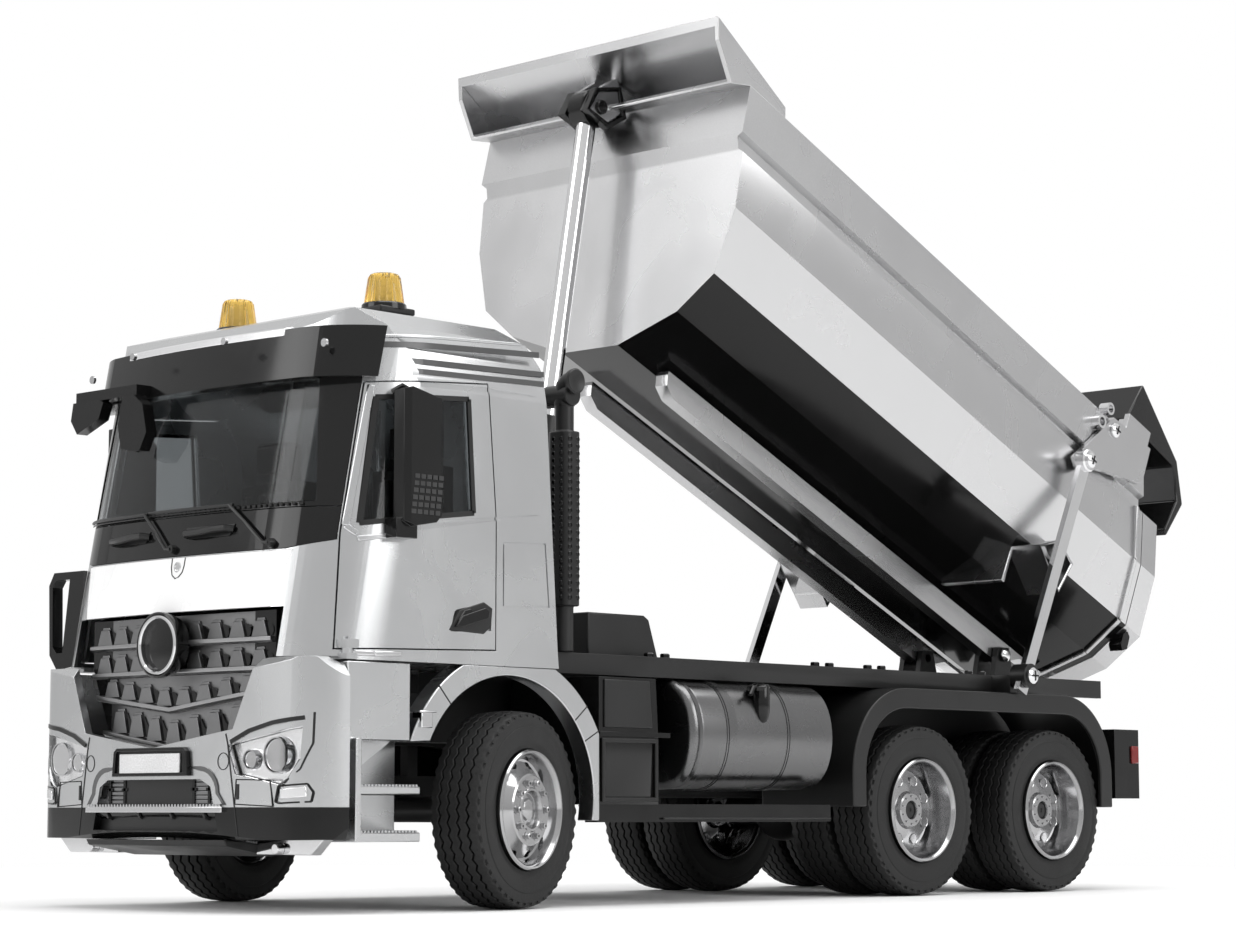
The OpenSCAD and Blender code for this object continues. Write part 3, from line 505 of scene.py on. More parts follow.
def tintedGlass(name, color, rough=0.02):
    material, shader = newMaterial(name, color, 0.0, Transmission_Weight=1.0, IOR=1.3)
    marks = placeGroup(material, handlingMarks, Scale=50, Low=rough, High=rough + 0.03)
    material.node_tree.links.new(marks.outputs["Roughness"], shader.inputs["Roughness"])
    return material


def tailRed():
    material, shader = newMaterial("tailRed", (0.16, 0.008, 0.008))
    addFinish(material, shader, ((0.13, 0.006, 0.006), (0.2, 0.012, 0.01)), (60, 0.12, 0.22), 1500,
              (0.05, 0.00003))
    return material


paint = {
    "silver": satinSilver(),
    "bed": bedSilver(),
    "white": whitePaint(),
    "black": blackPlastic("satinBlack", 0.007, 0.3, 0.42, 0.1),
    "gloss": blackPlastic("glossBlack", 0.004, 0.09, 0.15, 0.02),
    "grey": blackPlastic("darkGrey", 0.022, 0.35, 0.5, 0.12),
    "chassis": blackPlastic("chassisGrey", 0.012, 0.35, 0.5, 0.15),
    "tank": polished("tankGrey", 0.16, 0.22, 0.3),
    "rim": polished("rimChrome", 0.4, 0.12, 0.2),
    "rod": polished("rodChrome", 0.7, 0.06, 0.12),
    "rubber": tyreRubber(),
    "glass": tintedGlass("tintedGlass", (0.42, 0.44, 0.45)),
    "clear": tintedGlass("clearLens", (0.97, 0.97, 0.97)),
    "amber": tintedGlass("amberLens", (0.95, 0.62, 0.14), 0.12),
    "ledge": polished("ledgeGrey", 0.32, 0.3, 0.4),
    "panel": polished("panelGrey", 0.2, 0.3, 0.42),
    "bright": polished("lampSilver", 0.85, 0.16, 0.24),
    "pale": blackPlastic("plateWhite", 0.5, 0.35, 0.5, 0.02),
    "glow": blackPlastic("beaconCore", 0.45, 0.3, 0.4, 0.02),
    "red": tailRed(),
    "steel": polished("screwSteel", 0.5, 0.2, 0.3),
    "shade": polished("shadedSilver", 0.12, 0.3, 0.4),
}
print("materials made")

nodePaint = {
    "silver": ["front_bumper", "badge", "cab_shell", "cab_steps", "wheel_arches", "door_left", "door_right"],
    "bed": ["bed_tub", "bed_canopy", "bed_rails", "tailgate"],
    "white": ["front_panel"],
    "chassis": ["chassis_frame", "axles", "leaf_springs", "driveline"],
    "black": ["deck_plate", "deck_box", "air_stack", "bumper_insert", "skid_plate", "cowl", "beacon_bases",
              "dashboard", "seats", "side_boxes", "rear_mudguards", "knuckle_left",
              "knuckle_right", "tailgate_hood", "ram_tube", "link_foot_left", "link_foot_right"],
    "gloss": ["sun_visor", "front_mirrors", "mirror_left", "mirror_right"],
    "grey": ["grille"],
    "tank": ["fuel_tanks"],
    "rim": ["front_left_rim", "front_right_rim", "middle_left_rims", "middle_right_rims",
            "rear_left_rims", "rear_right_rims"],
    "rod": ["ram_rod", "link_bar_left", "link_bar_right"],
    "rubber": ["front_left_tyre", "front_right_tyre", "middle_left_tyres", "middle_right_tyres",
               "rear_left_tyres", "rear_right_tyres"],
    "glass": ["headlamps", "windscreen", "door_left_glass", "door_right_glass"],
    "amber": ["beacons"],
}
for name, nodes in nodePaint.items():
    for node in nodes:
        mesh = frame["nodes"][node].data
        mesh.materials.clear()
        mesh.materials.append(paint[name])


# Wheels

wheel = {
    "tyreRadius": 27.0, "width": 15.6, "rimRadius": 16.2, "floor": 25.6, "pitches": 48,
    "grooves": (-4.4, -1.5, 1.5, 4.4), "grooveWidth": 0.6, "swing": 0.4, "shoulder": 7.35,
    "notch": 0.5, "draft": 0.1, "chamfer": 0.15, "chamferFall": 0.12, "crownFall": 0.012,
    "frontNuts": 10, "nutCircle": 7.5, "rearHoles": 8, "holeCircle": 9.8, "twin": 17.6,
}


def treadPitch():
    # one pitch of the ribs between the zigzag grooves, at the top of the tyre
    bm = bmesh.new()
    step = 2 * math.pi / wheel["pitches"]
    half, edges = wheel["grooveWidth"] / 2, [-wheel["shoulder"]]
    for x in wheel["grooves"]:
        edges += [x - half, x + half]
    edges.append(wheel["shoulder"])

    def point(x, turn, radius):
        a = turn * step
        return bm.verts.new((x, -radius * math.sin(a), radius * math.cos(a)))

    def crown(x):
        return wheel["tyreRadius"] - wheel["crownFall"] * x * x
    foot = wheel["floor"] - 0.3
    draft, chamfer, fall = wheel["draft"], wheel["chamfer"], wheel["chamferFall"]
    turns = (0.0, 0.25, 0.5, 0.75, 1.0)
    swing = [wheel["swing"] * (1 - 4 * abs(t - 0.5)) for t in turns]
    for k in range(0, len(edges), 2):
        low, high = edges[k], edges[k + 1]
        columns = []
        for t, s in zip(turns, swing):
            notch = wheel["notch"] if t in (0.25, 0.5) else 0.0
            a = low + (s if k else notch)
            b = high + (s if k < len(edges) - 2 else -notch)
            columns.append([point(a - draft, t, foot), point(a, t, crown(a) - fall),
                            point(a + chamfer, t, crown(a)),
                            point(b - chamfer, t, crown(b)), point(b, t, crown(b) - fall),
                            point(b + draft, t, foot)])
        for p, q in zip(columns, columns[1:]):
            for i in range(5):
                bm.faces.new((p[i], q[i], q[i + 1], p[i + 1]))
        # short cuts across the rib
        for u in (0.12, 0.62):
            mid, wide = (low + high) / 2, (high - low) * 0.16
            z = crown(mid) + 0.02
            bm.faces.new([point(mid + dx, u + dt, z) for dx, dt in
                          ((-wide, 0.0), (wide, 0.05), (wide, 0.09), (-wide, 0.04))])
    return bm


def tyreMeshes():
    bm = bmesh.new()
    w, r, f = wheel["width"] / 2, wheel["rimRadius"], wheel["floor"]
    right = [(w - 1.2, r + 0.05), (w - 0.5, r + 0.6), (w - 0.35, r + 1.5), (w - 0.1, r + 1.9),
             (w - 0.02, r + 3.2), (w, r + 5.4), (w - 0.12, r + 6.4), (w - 0.25, r + 6.5),
             (w - 0.2, r + 7.2), (w - 0.1, r + 7.6), (w - 0.3, f - 0.4), (w - 0.9, f)]
    profile = right + [(-x, y) for x, y in reversed(right)]
    turned(bm, closedProfile(profile), steps=96)
    body = meshOf(bm, "tyreBody", inMetres)
    tread = repeated(axleRing, treadPitch(), "rubber", Count=wheel["pitches"])
    # shoulder lugs that show at the edge of the side wall
    bm = bmesh.new()
    for s in (-1, 1):
        prism(bm, [(s * (w - 0.95), f - 2.2), (s * (w - 0.12), f - 2.0), (s * (w - 0.4), f + 0.1),
                   (s * (w - 0.95), f + 0.6)], "Y", -0.95, 0.95)
    lugs = repeated(axleRing, bm, "rubber", Count=wheel["pitches"], Turn=math.pi * 1.75 / wheel["pitches"])
    return body, tread, lugs


def joinedMesh(name, meshes):
    bm = bmesh.new()
    for mesh in meshes:
        bm.from_mesh(mesh)
    mesh = bpy.data.meshes.new(name)
    bm.to_mesh(mesh)
    bm.free()
    return mesh


def pierced(mesh, cutter):
    # mesh with the cutter taken away
    ob, tool = bpy.data.objects.new("blank", mesh), bpy.data.objects.new("cutter", cutter)
    for o in (ob, tool):
        bpy.context.scene.collection.objects.link(o)
    cut = ob.modifiers.new("cut", "BOOLEAN")
    cut.object, cut.solver = tool, "EXACT"
    bpy.context.view_layer.update()
    result = bpy.data.meshes.new_from_object(ob.evaluated_get(bpy.context.evaluated_depsgraph_get()))
    for o in (ob, tool):
        bpy.data.objects.remove(o)
    return result


def frontRimMesh():
    bm = bmesh.new()
    face = [(8.0, 4.9), (8.6, 5.2), (8.6, 5.8), (8.3, 6.1), (8.3, 9.3), (8.0, 9.8), (6.9, 10.3),
            (5.2, 12.0), (4.4, 13.2), (4.6, 13.9), (7.4, 14.7), (8.3, 15.0), (8.8, 15.5), (8.8, 16.0),
            (8.3, 16.4), (7.0, 16.2), (-6.6, 16.2), (-7.4, 15.6), (-6.6, 15.0), (1.0, 13.6), (2.6, 12.6),
            (5.2, 9.6), (5.2, 4.0), (6.6, 4.0), (6.8, 4.6)]
    turned(bm, closedProfile(face), steps=96)
    blank = meshOf(bm, "frontRim", inMetres)
    bm = bmesh.new()
    turned(bm, [(-3, 0), (-3, 0.95), (3, 0.95), (3, 0)], (5.2, 0, 12.6), steps=14)
    bm.transform(Matrix.Translation((5.2, 0, 12.6)) @ Matrix.Scale(1.7, 4, (0, 1, 0))
                 @ Matrix.Translation((-5.2, 0, -12.6)))
    rim = pierced(blank, repeated(axleRing, bm, "rim", Count=10, Turn=math.pi / 10))
    # wheel nuts and the hub's domed cap
    bm = bmesh.new()
    turned(bm, [(8.25, 1.25), (8.5, 1.25), (8.5, 0)], (0, 0, wheel["nutCircle"]), steps=12)
    hexNut(bm, (8.4, 0, wheel["nutCircle"]), 0.85, 1.0)
    nuts = repeated(axleRing, bm, "rim", Count=wheel["frontNuts"], Turn=math.pi / wheel["frontNuts"])
    bm = bmesh.new()
    turned(bm, [(5.0, 4.9), (6.6, 4.9), (6.8, 4.3), (7.0, 3.2), (7.6, 2.8), (7.9, 2.2), (8.0, 0)], steps=48)
    return joinedMesh("frontRim", [rim, nuts, meshOf(bm, "cap", inMetres)])


def rearRimMesh():
    bm = bmesh.new()
    dish = [(2.8, 2.7), (3.4, 3.0), (3.4, 5.2), (3.1, 5.6), (1.6, 6.0), (1.3, 7.4), (1.0, 9.8), (-0.3, 12.4),
            (-0.4, 13.2), (0.6, 13.8), (7.4, 14.7), (8.3, 15.0), (8.8, 15.5), (8.8, 16.0), (8.3, 16.4),
            (7.0, 16.2), (-6.6, 16.2), (-7.4, 15.6), (-6.6, 15.0), (-1.6, 14.6), (-2.0, 12.4), (-0.6, 9.4),
            (-0.6, 4.0), (-0.6, 2.7)]
    turned(bm, closedProfile(dish), steps=96)
    blank = meshOf(bm, "rearRim", inMetres)
    bm = bmesh.new()
    turned(bm, [(-4, 0), (-4, 1.5), (4, 1.5), (4, 0)], (0, 0, wheel["holeCircle"]), steps=20)
    rim = pierced(blank, repeated(axleRing, bm, "rim", Count=wheel["rearHoles"],
                                  Turn=math.pi / wheel["rearHoles"]))
    bm = bmesh.new()
    turned(bm, [(3.3, 0.36), (3.75, 0.32), (3.8, 0)], (0, 0, 4.4), steps=8)
    studs = repeated(axleRing, bm, "rim", Count=10)
    bm = bmesh.new()
    turned(bm, [(1.25, 1.9), (1.45, 1.75), (1.35, 1.55), (0.9, 1.5)], (0, 0, wheel["holeCircle"]), steps=20)
    lips = repeated(axleRing, bm, "rim", Count=wheel["rearHoles"], Turn=math.pi / wheel["rearHoles"])
    return joinedMesh("rearRim", [rim, studs, lips])


def makeWheels():
    body, tread, lugs = tyreMeshes()
    frontRim, rearRim = frontRimMesh(), rearRimMesh()
    bm = bmesh.new()
    turned(bm, [(-12, 2.6), (2.4, 2.6), (2.7, 2.2), (2.7, 0.8), (2.4, 0.6), (2.4, 0)], steps=32)
    axleEnd = meshOf(bm, "axleEnd", inMetres)
    for place, rims in (("front", "rim"), ("middle", "rims"), ("rear", "rims")):
        for side in ("left", "right"):
            spin = joint[f"{place}_{side}_spin"]
            axle = Vector(spin["axis"])
            turn = math.atan2(axle.y, axle.x) + (math.pi if side == "right" else 0)
            seat = Matrix.Translation(spin["pos_m"]) @ Matrix.Rotation(turn, 4, "Z")
            wheelBody = spin["child"]
            seats = [seat]
            if place != "front":
                seats.append(seat @ Matrix.Translation((-wheel["twin"] * mm, 0, 0))
                             @ Matrix.Rotation(math.pi, 4, "Z"))
            tag = f"{place}{side.title()}"
            addPiece(tag + "Tyres", joinedMesh(tag + "Tyres", [placed(m, p) for p in seats
                                                               for m in (body, lugs, tread)]),
                     "rubber", wheelBody, angle=35,
                     replaces=(f"{place}_{side}_tyre{'s' if len(seats) > 1 else ''}",))
            rim = frontRim if place == "front" else rearRim
            addPiece(tag + "Rims", joinedMesh(tag + "Rims", [placed(rim, p) for p in seats]), "rim",
                     wheelBody, angle=28, replaces=(f"{place}_{side}_{rims}",))
            if place != "front":
                addPiece(tag + "HubCore", placed(axleEnd, seat), "chassis", wheelBody)


makeWheels()
print("wheels made")

# Metal and plastic bodies with rounded edges

rounding = {
    "cab_shell": ("silver", "truck", 0.3), "door_left": ("silver", "door_left", 0.25),
    "door_right": ("silver", "door_right", 0.25), "front_bumper": ("silver", "truck", 0.3),
    "front_panel": ("white", "truck", 0.2), "cowl": ("gloss", "truck", 0.15),
    "cab_trim": ("gloss", "truck", 0.15), "sun_visor": ("gloss", "truck", 0.35),
    "front_mirrors": ("gloss", "truck", 0.5),
    "mirror_left": ("gloss", "door_left", 0.6), "mirror_right": ("gloss", "door_right", 0.6),
    "cab_steps": ("silver", "truck", 0.3), "wheel_arches": ("silver", "truck", 0.3),
    "deck_plate": ("black", "truck", 0.3), "deck_box": ("black", "truck", 0.5),
    "air_stack": ("black", "truck", 0.4), "skid_plate": ("black", "truck", 0.3),
    "bumper_insert": ("black", "truck", 0.2), "side_boxes": ("gloss", "truck", 0.5),
    "rear_mudguards": ("black", "truck", 0.4),
    "dashboard": ("black", "truck", 0.8), "seats": ("black", "truck", 1.6),
    "beacon_bases": ("black", "truck", 0.5), "chassis_frame": ("chassis", "truck", 0.3),
    "bed_tub": ("bed", "bed", 0.35), "bed_canopy": ("bed", "bed", 0.35), "bed_rails": ("bed", "bed", 0.4),
    "tailgate": ("bed", "tailgate", 0.35), "tailgate_hood": ("gloss", "tailgate", 0.6),
}


bumperTone = 27.6  # the bumper is black below this height
bedShadeHeight = 106  # painted shade: the lowered bed's downward-facing faces below this height are black gloss

# where a body has a second tone: its frame, that paint, the heights it is cut at, and which faces have it;
# the bumper's lower part is black paint, the bed's black downward faces are painted shade
toneRules = {
    "bed_tub": (bedPlace, "gloss", (), lambda p, n: n.z < -0.35 and abs(n.y) < 0.5 and p.z < bedShadeHeight),
    "front_bumper": (truckPlace, "gloss", (bumperTone,), lambda p, n: p.z < bumperTone),
}


def makeRoundedBodies():
    for node, (finish, body, radius) in rounding.items():
        roundedNode(node, finish, body, radius)


makeRoundedBodies()
print("bodies rounded")

# Front of the cab

nose = {
    "cabFront": -71.5, "leanHeight": 80.0, "lean": 10.5, "cabHalf": 60.0, "cabCorner": 26.0, "cabSet": 2.0,
    "bumperFront": -76.0, "bumperHalf": 62.0, "bumperCorner": 16.0, "bumperSet": 3.4, "bow": 1 / 600,
}


def bowed(x, half, corner, back):
    # how far the bowed outline lies behind its front at x
    over = abs(x) - (half - corner)
    if over <= 0:
        return x * x * nose["bow"]
    return back + corner - math.sqrt(max(0, corner ** 2 - over ** 2))


def cabY(x, z, off=0.0):
    lean = math.radians(nose["lean"])
    return (nose["cabFront"] + (z - nose["leanHeight"]) * math.tan(lean)
            + bowed(x, nose["cabHalf"], nose["cabCorner"], nose["cabSet"]) - off)


def bumperY(x, off=0.0):
    return nose["bumperFront"] + bowed(x, nose["bumperHalf"], nose["bumperCorner"], nose["bumperSet"]) - off


def cabStrip(bm, points, off, thick):
    # thin plate laid on the cab's front over an outline of (x, z) rows: [(z, x0, x1), ...]
    rows = []
    for z, x0, x1 in points:
        count = 13
        xs = [x0 + (x1 - x0) * k / (count - 1) for k in range(count)]
        rows.append(([bm.verts.new((x, cabY(x, z, off), z)) for x in xs],
                     [bm.verts.new((x, cabY(x, z, off - thick), z)) for x in xs]))
    for (a0, a1), (b0, b1) in zip(rows, rows[1:]):
        for k in range(len(a0) - 1):
            bm.faces.new((a0[k], a0[k + 1], b0[k + 1], b0[k]))
            bm.faces.new((a1[k], b1[k], b1[k + 1], a1[k + 1]))
        bm.faces.new((a0[0], b0[0], b1[0], a1[0]))
        bm.faces.new((a0[-1], a1[-1], b1[-1], b0[-1]))
    for (a0, a1) in (rows[0], rows[-1]):
        for k in range(len(a0) - 1):
            bm.faces.new((a0[k], a1[k], a1[k + 1], a0[k + 1]))


def bumperLine(bm, points, off, thick, width):
    # raised or dark line over the bumper through (x, z) points
    for (x0, z0), (x1, z1) in zip(points, points[1:]):
        run = Vector((x1 - x0, z1 - z0))
        side = Vector((-run.y, run.x)).normalized() * width / 2
        steps = max(1, int(run.length / 3))
        ring = []
        for k in range(steps + 1):
            x, z = x0 + run.x * k / steps, z0 + run.y * k / steps
            ring.append([bm.verts.new((x + s * side.x, bumperY(x + s * side.x, o), z + s * side.y))
                         for s, o in ((-1, off), (1, off), (1, off - thick), (-1, off - thick))])
        skin(bm, ring)


grille = {
    "straight": (72.3, 64.6), "vee": ((54.3, 0.12), (44.2, 0.145)), "pitch": 8.4, "half": (39.2, 37.4, 32.5),
    "toothHigh": 4.3, "ledgeHigh": 1.5, "depth": 6.2,
}


def gridTooth(high):
    bm = bmesh.new()
    prism(bm, [(-3.3, 0), (3.3, 0), (1.8, high), (-1.8, high)], "Y", 0.9, 2.4)
    prism(bm, [(-1.8, high), (1.8, high), (1.5, high + 0.8), (-1.5, high + 0.8)], "Y", 1.4, 2.4)
    return bm


def makeGrille():
    back = bmesh.new()
    frontY = nose["bumperFront"] + grille["depth"]
    prism(back,
          [(-39.6, 66), (-39.6, 79.4), (39.6, 79.4), (39.6, 66), (31.8, 48.2), (0, 43.8), (-31.8, 48.2)],
          "Y", frontY + 3.6, frontY + 5.0)
    addPiece("grilleBack", meshOf(back, "grilleBack"), "gloss", "truck", replaces=("grille",))
    shelf = bmesh.new()
    rows = [(z, 0.0, 37.8 if z < 70 else 39.2) for z in grille["straight"]] + \
           [(z, rise, half) for (z, rise), half in zip(grille["vee"], (35.4, 31.4))]
    for z, rise, half in rows:
        for s in (-1, 1):
            count = 8
            xs = [s * half * k / count for k in range(count + 1)]
            ring = [[shelf.verts.new((x, frontY + x * x * nose["bow"] + dy, z + rise * abs(x) + dz))
                     for dy,
                     dz in ((-0.7, 0.1), (-0.7, -0.9), (0.2, -grille["ledgeHigh"]), (3.4, -1.2), (3.4, 0.3))]
                    for x in xs]
            skin(shelf, ring, caps=(-1,))
    addPiece("grilleLedges", meshOf(shelf, "grilleLedges"), "ledge", "truck", bevel=0.15)
    panels = bmesh.new()
    for low, high, riseLow, riseHigh, half in ((54.6, 63.1, 0.12, 0.0, 35.0), (44.6, 52.9, 0.145, 0.12, 31.8),
                                               (64.9, 70.9, 0, 0, 37.2), (72.6, 79.3, 0, 0, 39.0)):
        for s in (-1, 1):
            xs = [s * half * k / 8 for k in range(9)]
            ring = [[panels.verts.new((x, frontY + x * x * nose["bow"] + dy, z))
                     for dy, z in ((2.0, low + riseLow * abs(x)), (2.0, high + riseHigh * abs(x)),
                                   (3.4, high + riseHigh * abs(x)),
                                   (3.4, low + riseLow * abs(x)))] for x in xs]
            skin(panels, ring, caps=(-1,))
    addPiece("grillePanels", meshOf(panels, "grillePanels"), "panel", "truck")
    for n, ((z, rise, half), count) in enumerate(zip(rows, (9, 9, 8, 7))):
        high = 6.0 if n == 3 else grille["toothHigh"]
        mesh = repeated(bowedRows, gridTooth(high), "grey", Count=count, Step=(grille["pitch"] * mm, 0, 0),
                        Rows=1, Bow=nose["bow"] / mm, Rise=rise)
        mesh.transform(Matrix.Translation((0, frontAxleY + frontY * mm, (z + 0.2) * mm)))
        addPiece(f"grilleTeeth{n}", mesh, "panel", "truck", bevel=0.12)
        # painted shade: black shapes in the gaps between the grille's teeth
        leaf = bmesh.new()
        prism(leaf, [(-1.2, 0.2), (0.7, 0.2), (1.4, 1.2), (1.2, 2.6), (0.3, 3.4), (-1.1, high - 0.4)], "Y",
              1.5, 2.1)
        mesh = repeated(bowedRows, leaf, "gloss", Count=count, Step=(grille["pitch"] * mm, 0, 0), Rows=1,
                        Bow=nose["bow"] / mm, Rise=rise)
        mesh.transform(Matrix.Translation((grille["pitch"] * 0.46 * mm, frontAxleY + frontY * mm,
                                           (z + 0.2) * mm)))
        addPiece(f"grilleGaps{n}", mesh, "gloss", "truck")


def makeBadge():
    z = 71.2
    centre = (0, nose["bumperFront"] + 1.0, z)
    for name, profile, finish in (
            ("badgeRim", [(5, 8.0), (1.2, 9.0), (0.2, 8.9), (0.0, 8.5), (0.5, 8.2), (5, 8.0)], "gloss"),
            ("badgeRing",
             [(2.4, 7.0), (0.3, 7.1), (-0.1, 7.4), (-0.1, 7.9), (0.3, 8.25), (2.4, 8.3), (2.4, 7.0)],
             "rod"),
            ("badgeDisc", [(2.0, 7.2), (1.6, 7.1), (1.2, 4.0), (1.0, 0)], "gloss")):
        bm = bmesh.new()
        turned(bm, profile, centre, "Y", 64)
        addPiece(name, meshOf(bm, name), finish, "truck", replaces=("badge",) if name == "badgeRim" else ())


def makeWipersAndHandles():
    bm = bmesh.new()
    for foot, top in (((-4, 97.8), (-16.5, 108.2)), ((35, 97.4), (20, 108.4))):
        tube(bm, [(x, cabY(x, z, 1.3), z) for x, z in
                  ((foot[0] + 2.2, foot[1] - 0.2), foot,
                   ((foot[0] + top[0]) / 2, (foot[1] + top[1]) / 2 + 0.2), top)],
             0.45, 8)
        turned(bm, [(-0.8, 0), (-0.8, 1.1), (1.4, 1.3), (1.4, 0)],
               (foot[0] + 2.2, cabY(foot[0], foot[1], 0.6),
                                                             foot[1] - 0.2), "Y", 16)
        xs = [top[0] + 1 - 36 * k / 12 for k in range(13)]
        xs = [x for x in xs if x > -51]
        for zOff, wide, high in ((0.0, 0.5, 0.7), (-0.9, 0.2, 0.5)):
            tube(bm, [(x, cabY(x, top[1], 0.75), top[1] + zOff) for x in xs], wide, 6)
    for x0, x1 in ((-32, -14), (3, 22)):
        z = 101.8
        tube(bm, [(x0, cabY(x0, z, 0.2), z - 0.6), (x0 + 1.6, cabY(x0, z, 1.9), z - 0.4),
                  (x0 + 7, cabY(x0 + 7, z, 2.1), z - 0.3), (x1 - 6, cabY(x1 - 6, z, 2.1), z + 0.2),
                  (x1 - 1.4, cabY(x1, z, 2.0), z + 0.3), (x1, cabY(x1, z, 0.2), z)], 0.95, 8)
        cabStrip(bm, [(z - 1.7, x0 + 1, x1 - 1), (z + 1.4, x0 - 0.4, x1 + 0.4)], 0.25, 0.25)
    addPiece("wipersAndHandles", meshOf(bm, "wipersAndHandles"), "black", "truck")
    bm = bmesh.new()
    for x in range(-44, 46, 2):
        prism(bm, [(x, 107.2), (x + 1.3, 107.2), (x + 1.3, 107.9), (x, 107.9)], "Y", cabY(x, 107, 0.25),
              cabY(x, 107, -0.2))
    addPiece("cowlVents", meshOf(bm, "cowlVents"), "black", "truck")


def makeBonnetMark():
    bm = bmesh.new()
    z = 92.4
    turned(bm, [(0.6, 1.5), (-0.1, 1.5), (-0.25, 1.3), (-0.25, 1.0), (-0.1, 0.9), (-0.1, 0)],
           (1.2, cabY(1, z), z), "Y", 32)
    addPiece("bonnetDisc", meshOf(bm, "bonnetDisc"), "rod", "truck")
    bm = bmesh.new()
    tube(bm,
         [(x, cabY(x, z, 0.05), z) for x,
          z in ((-1.6, 95.0), (-1.4, 92.4), (-0.6, 90.4), (0.9, 89.4), (2.4, 89.8),
                                                 (3.6, 91.0), (4.0, 92.6), (4.0, 95.0))], 0.16, 6)
    addPiece("bonnetLine", meshOf(bm, "bonnetLine"), "black", "truck")


makeGrille()
makeBadge()
makeWipersAndHandles()
makeBonnetMark()
print("cab front made")

# Bumper

bumper = {
    "seam": [(29.6, 46.8), (30.4, 44), (33.2, 27), (34.4, 20)], "sensor": (28.8, 39.6), "sensorRadius": 2.0,
    "plate": (13.2, 39.3, 2.6), "archHalf": 27.4, "archLow": 28.2, "archHigh": 38.4, "archRound": 7.0,
    "lampBig": (46.6, 41.0, 4.4), "lampSmall": (37.4, 40.0, 2.3), "step": (29.5, 27.8), "teeth": 44,
    "toothPitch": 1.32,
    "lamp": {"low": [(30.4, 43.4), (33, 36.4), (50, 33.0), (54.2, 40)],
             "high": [(30.4, 43.8), (42, 46.4), (54.2, 48.2)]},
}


def archLine(half, low, high, corner):
    # outline of the intake: leaning sides and rounded shoulders
    lean = 2.6
    points = [(-half - lean, low)]
    for s in (-1, 1):
        angles = range(180, 89, -15) if s < 0 else range(90, -1, -15)
        for a in angles:
            points.append((s * (half - corner) + corner * math.cos(math.radians(a)),
                           high - corner + corner * math.sin(math.radians(a))))
    return points + [(half + lean, low)]


def makeBumperDetails():
    dark = bmesh.new()
    for s in (-1, 1):
        bumperLine(dark, [(s * x, z) for x, z in bumper["seam"]], 0.12, 0.3, 0.35)
        x, z = bumper["sensor"]
        ring = [(x * s + bumper["sensorRadius"] * math.cos(a), z + bumper["sensorRadius"] * 1.1 * math.sin(a))
                for a in (2 * math.pi * k / 20 for k in range(21))]
        bumperLine(dark, ring, 0.12, 0.3, 0.22)
        # brow over the lamp and the line under the fog lamp
        bumperLine(dark, [(s * x, z) for x, z in ((31.5, 44.6), (38, 47.4), (46, 49.4), (55.5, 50.6))],
                   0.35, 0.6, 1.1)
        bumperLine(dark, [(s * x, z) for x, z in ((57.4, 52), (57.2, 44), (54.6, 37.4), (50.4, 33.8))],
                   0.12, 0.3,
                   0.4)
        bumperLine(dark, [(s * x, z) for x, z in ((34.2, 33.6), (34.2, 29.6))], 0.2, 0.4, 0.8)
    addPiece("bumperLines", meshOf(dark, "bumperLines"), "black", "truck")
    # smooth arch round the intake, with the plate's recess in its crown
    front = nose["bumperFront"]
    x, z, half = bumper["plate"]
    arch = bmesh.new()
    outer = archLine(bumper["archHalf"], bumper["archLow"], bumper["archHigh"], bumper["archRound"])
    inner = archLine(bumper["archHalf"] - 3.4, bumper["archLow"], bumper["archHigh"] - 3.2,
                     bumper["archRound"] - 2.5)
    skin(arch, [[arch.verts.new((px, front - 0.35 + px * px * nose["bow"] + dy, pz)) for px, pz in line]
                for line, dy in ((outer, 0.5), (outer, 0.0), (inner, 0.9), (inner, 4.0))], loop=False,
                caps=())
    addPiece("intakeArch", meshOf(arch, "intakeArch"), "shade", "truck",
             replaces=("bumper_insert",))
    bm = bmesh.new()
    prism(bm, inner, "Y", front + 3.4, front + 5.0)
    for k in range(9):
        z0 = bumper["archLow"] + 0.4 + k * 1.16
        wide = bumper["archHalf"] - 4.6 - max(0.0, z0 - bumper["archHigh"] + 8) * 0.6
        block(bm, (-wide, wide), (front + 2.9, front + 3.6), (z0, z0 + 0.94))
    addPiece("intakeLouvres", meshOf(bm, "intakeLouvres"), "panel", "truck", bevel=0.12)
    bm = bmesh.new()
    for px in (-21.5, -15, 0, 15, 21.5):
        block(bm, (px - 0.5, px + 0.5), (front + 2.6, front + 3.2),
              (bumper["archLow"] + 0.5, bumper["archLow"] + 7.6))
        block(bm, (px - 1.3, px + 1.3), (front + 2.6, front + 3.2),
              (bumper["archLow"] + 3.8, bumper["archLow"] + 4.6))
    addPiece("intakeSlots", meshOf(bm, "intakeSlots"), "gloss", "truck")
    bm = bmesh.new()
    plateLine = [(-x - 3.2, z - half - 0.8), (x + 3.2, z - half - 0.8), (x + 2.6, z + half + 0.6),
                 (x + 1.4, z + half + 1.6),
                 (-x - 1.4, z + half + 1.6), (-x - 2.6, z + half + 0.6)]
    frameBand(bm, plateLine, 0.9, "Y", front - 0.8, front + 1.4)
    prism(bm, plateLine, "Y", front - 0.1, front + 1.0)
    addPiece("plateFrame", meshOf(bm, "plateFrame"), "gloss", "truck", bevel=0.2)
    bm = bmesh.new()
    block(bm, (-x, x - 0.4), (front - 0.7, front - 0.15), (z - half, z + half))
    addPiece("blankPlate", meshOf(bm, "blankPlate"), "pale", "truck", bevel=0.2)


def stepTooth():
    bm = bmesh.new()
    prism(bm, [(-0.5, 0), (0.5, 0), (0.25, 0.7), (-0.25, 0.7)], "Y", -1.6, 1.4)
    return bm


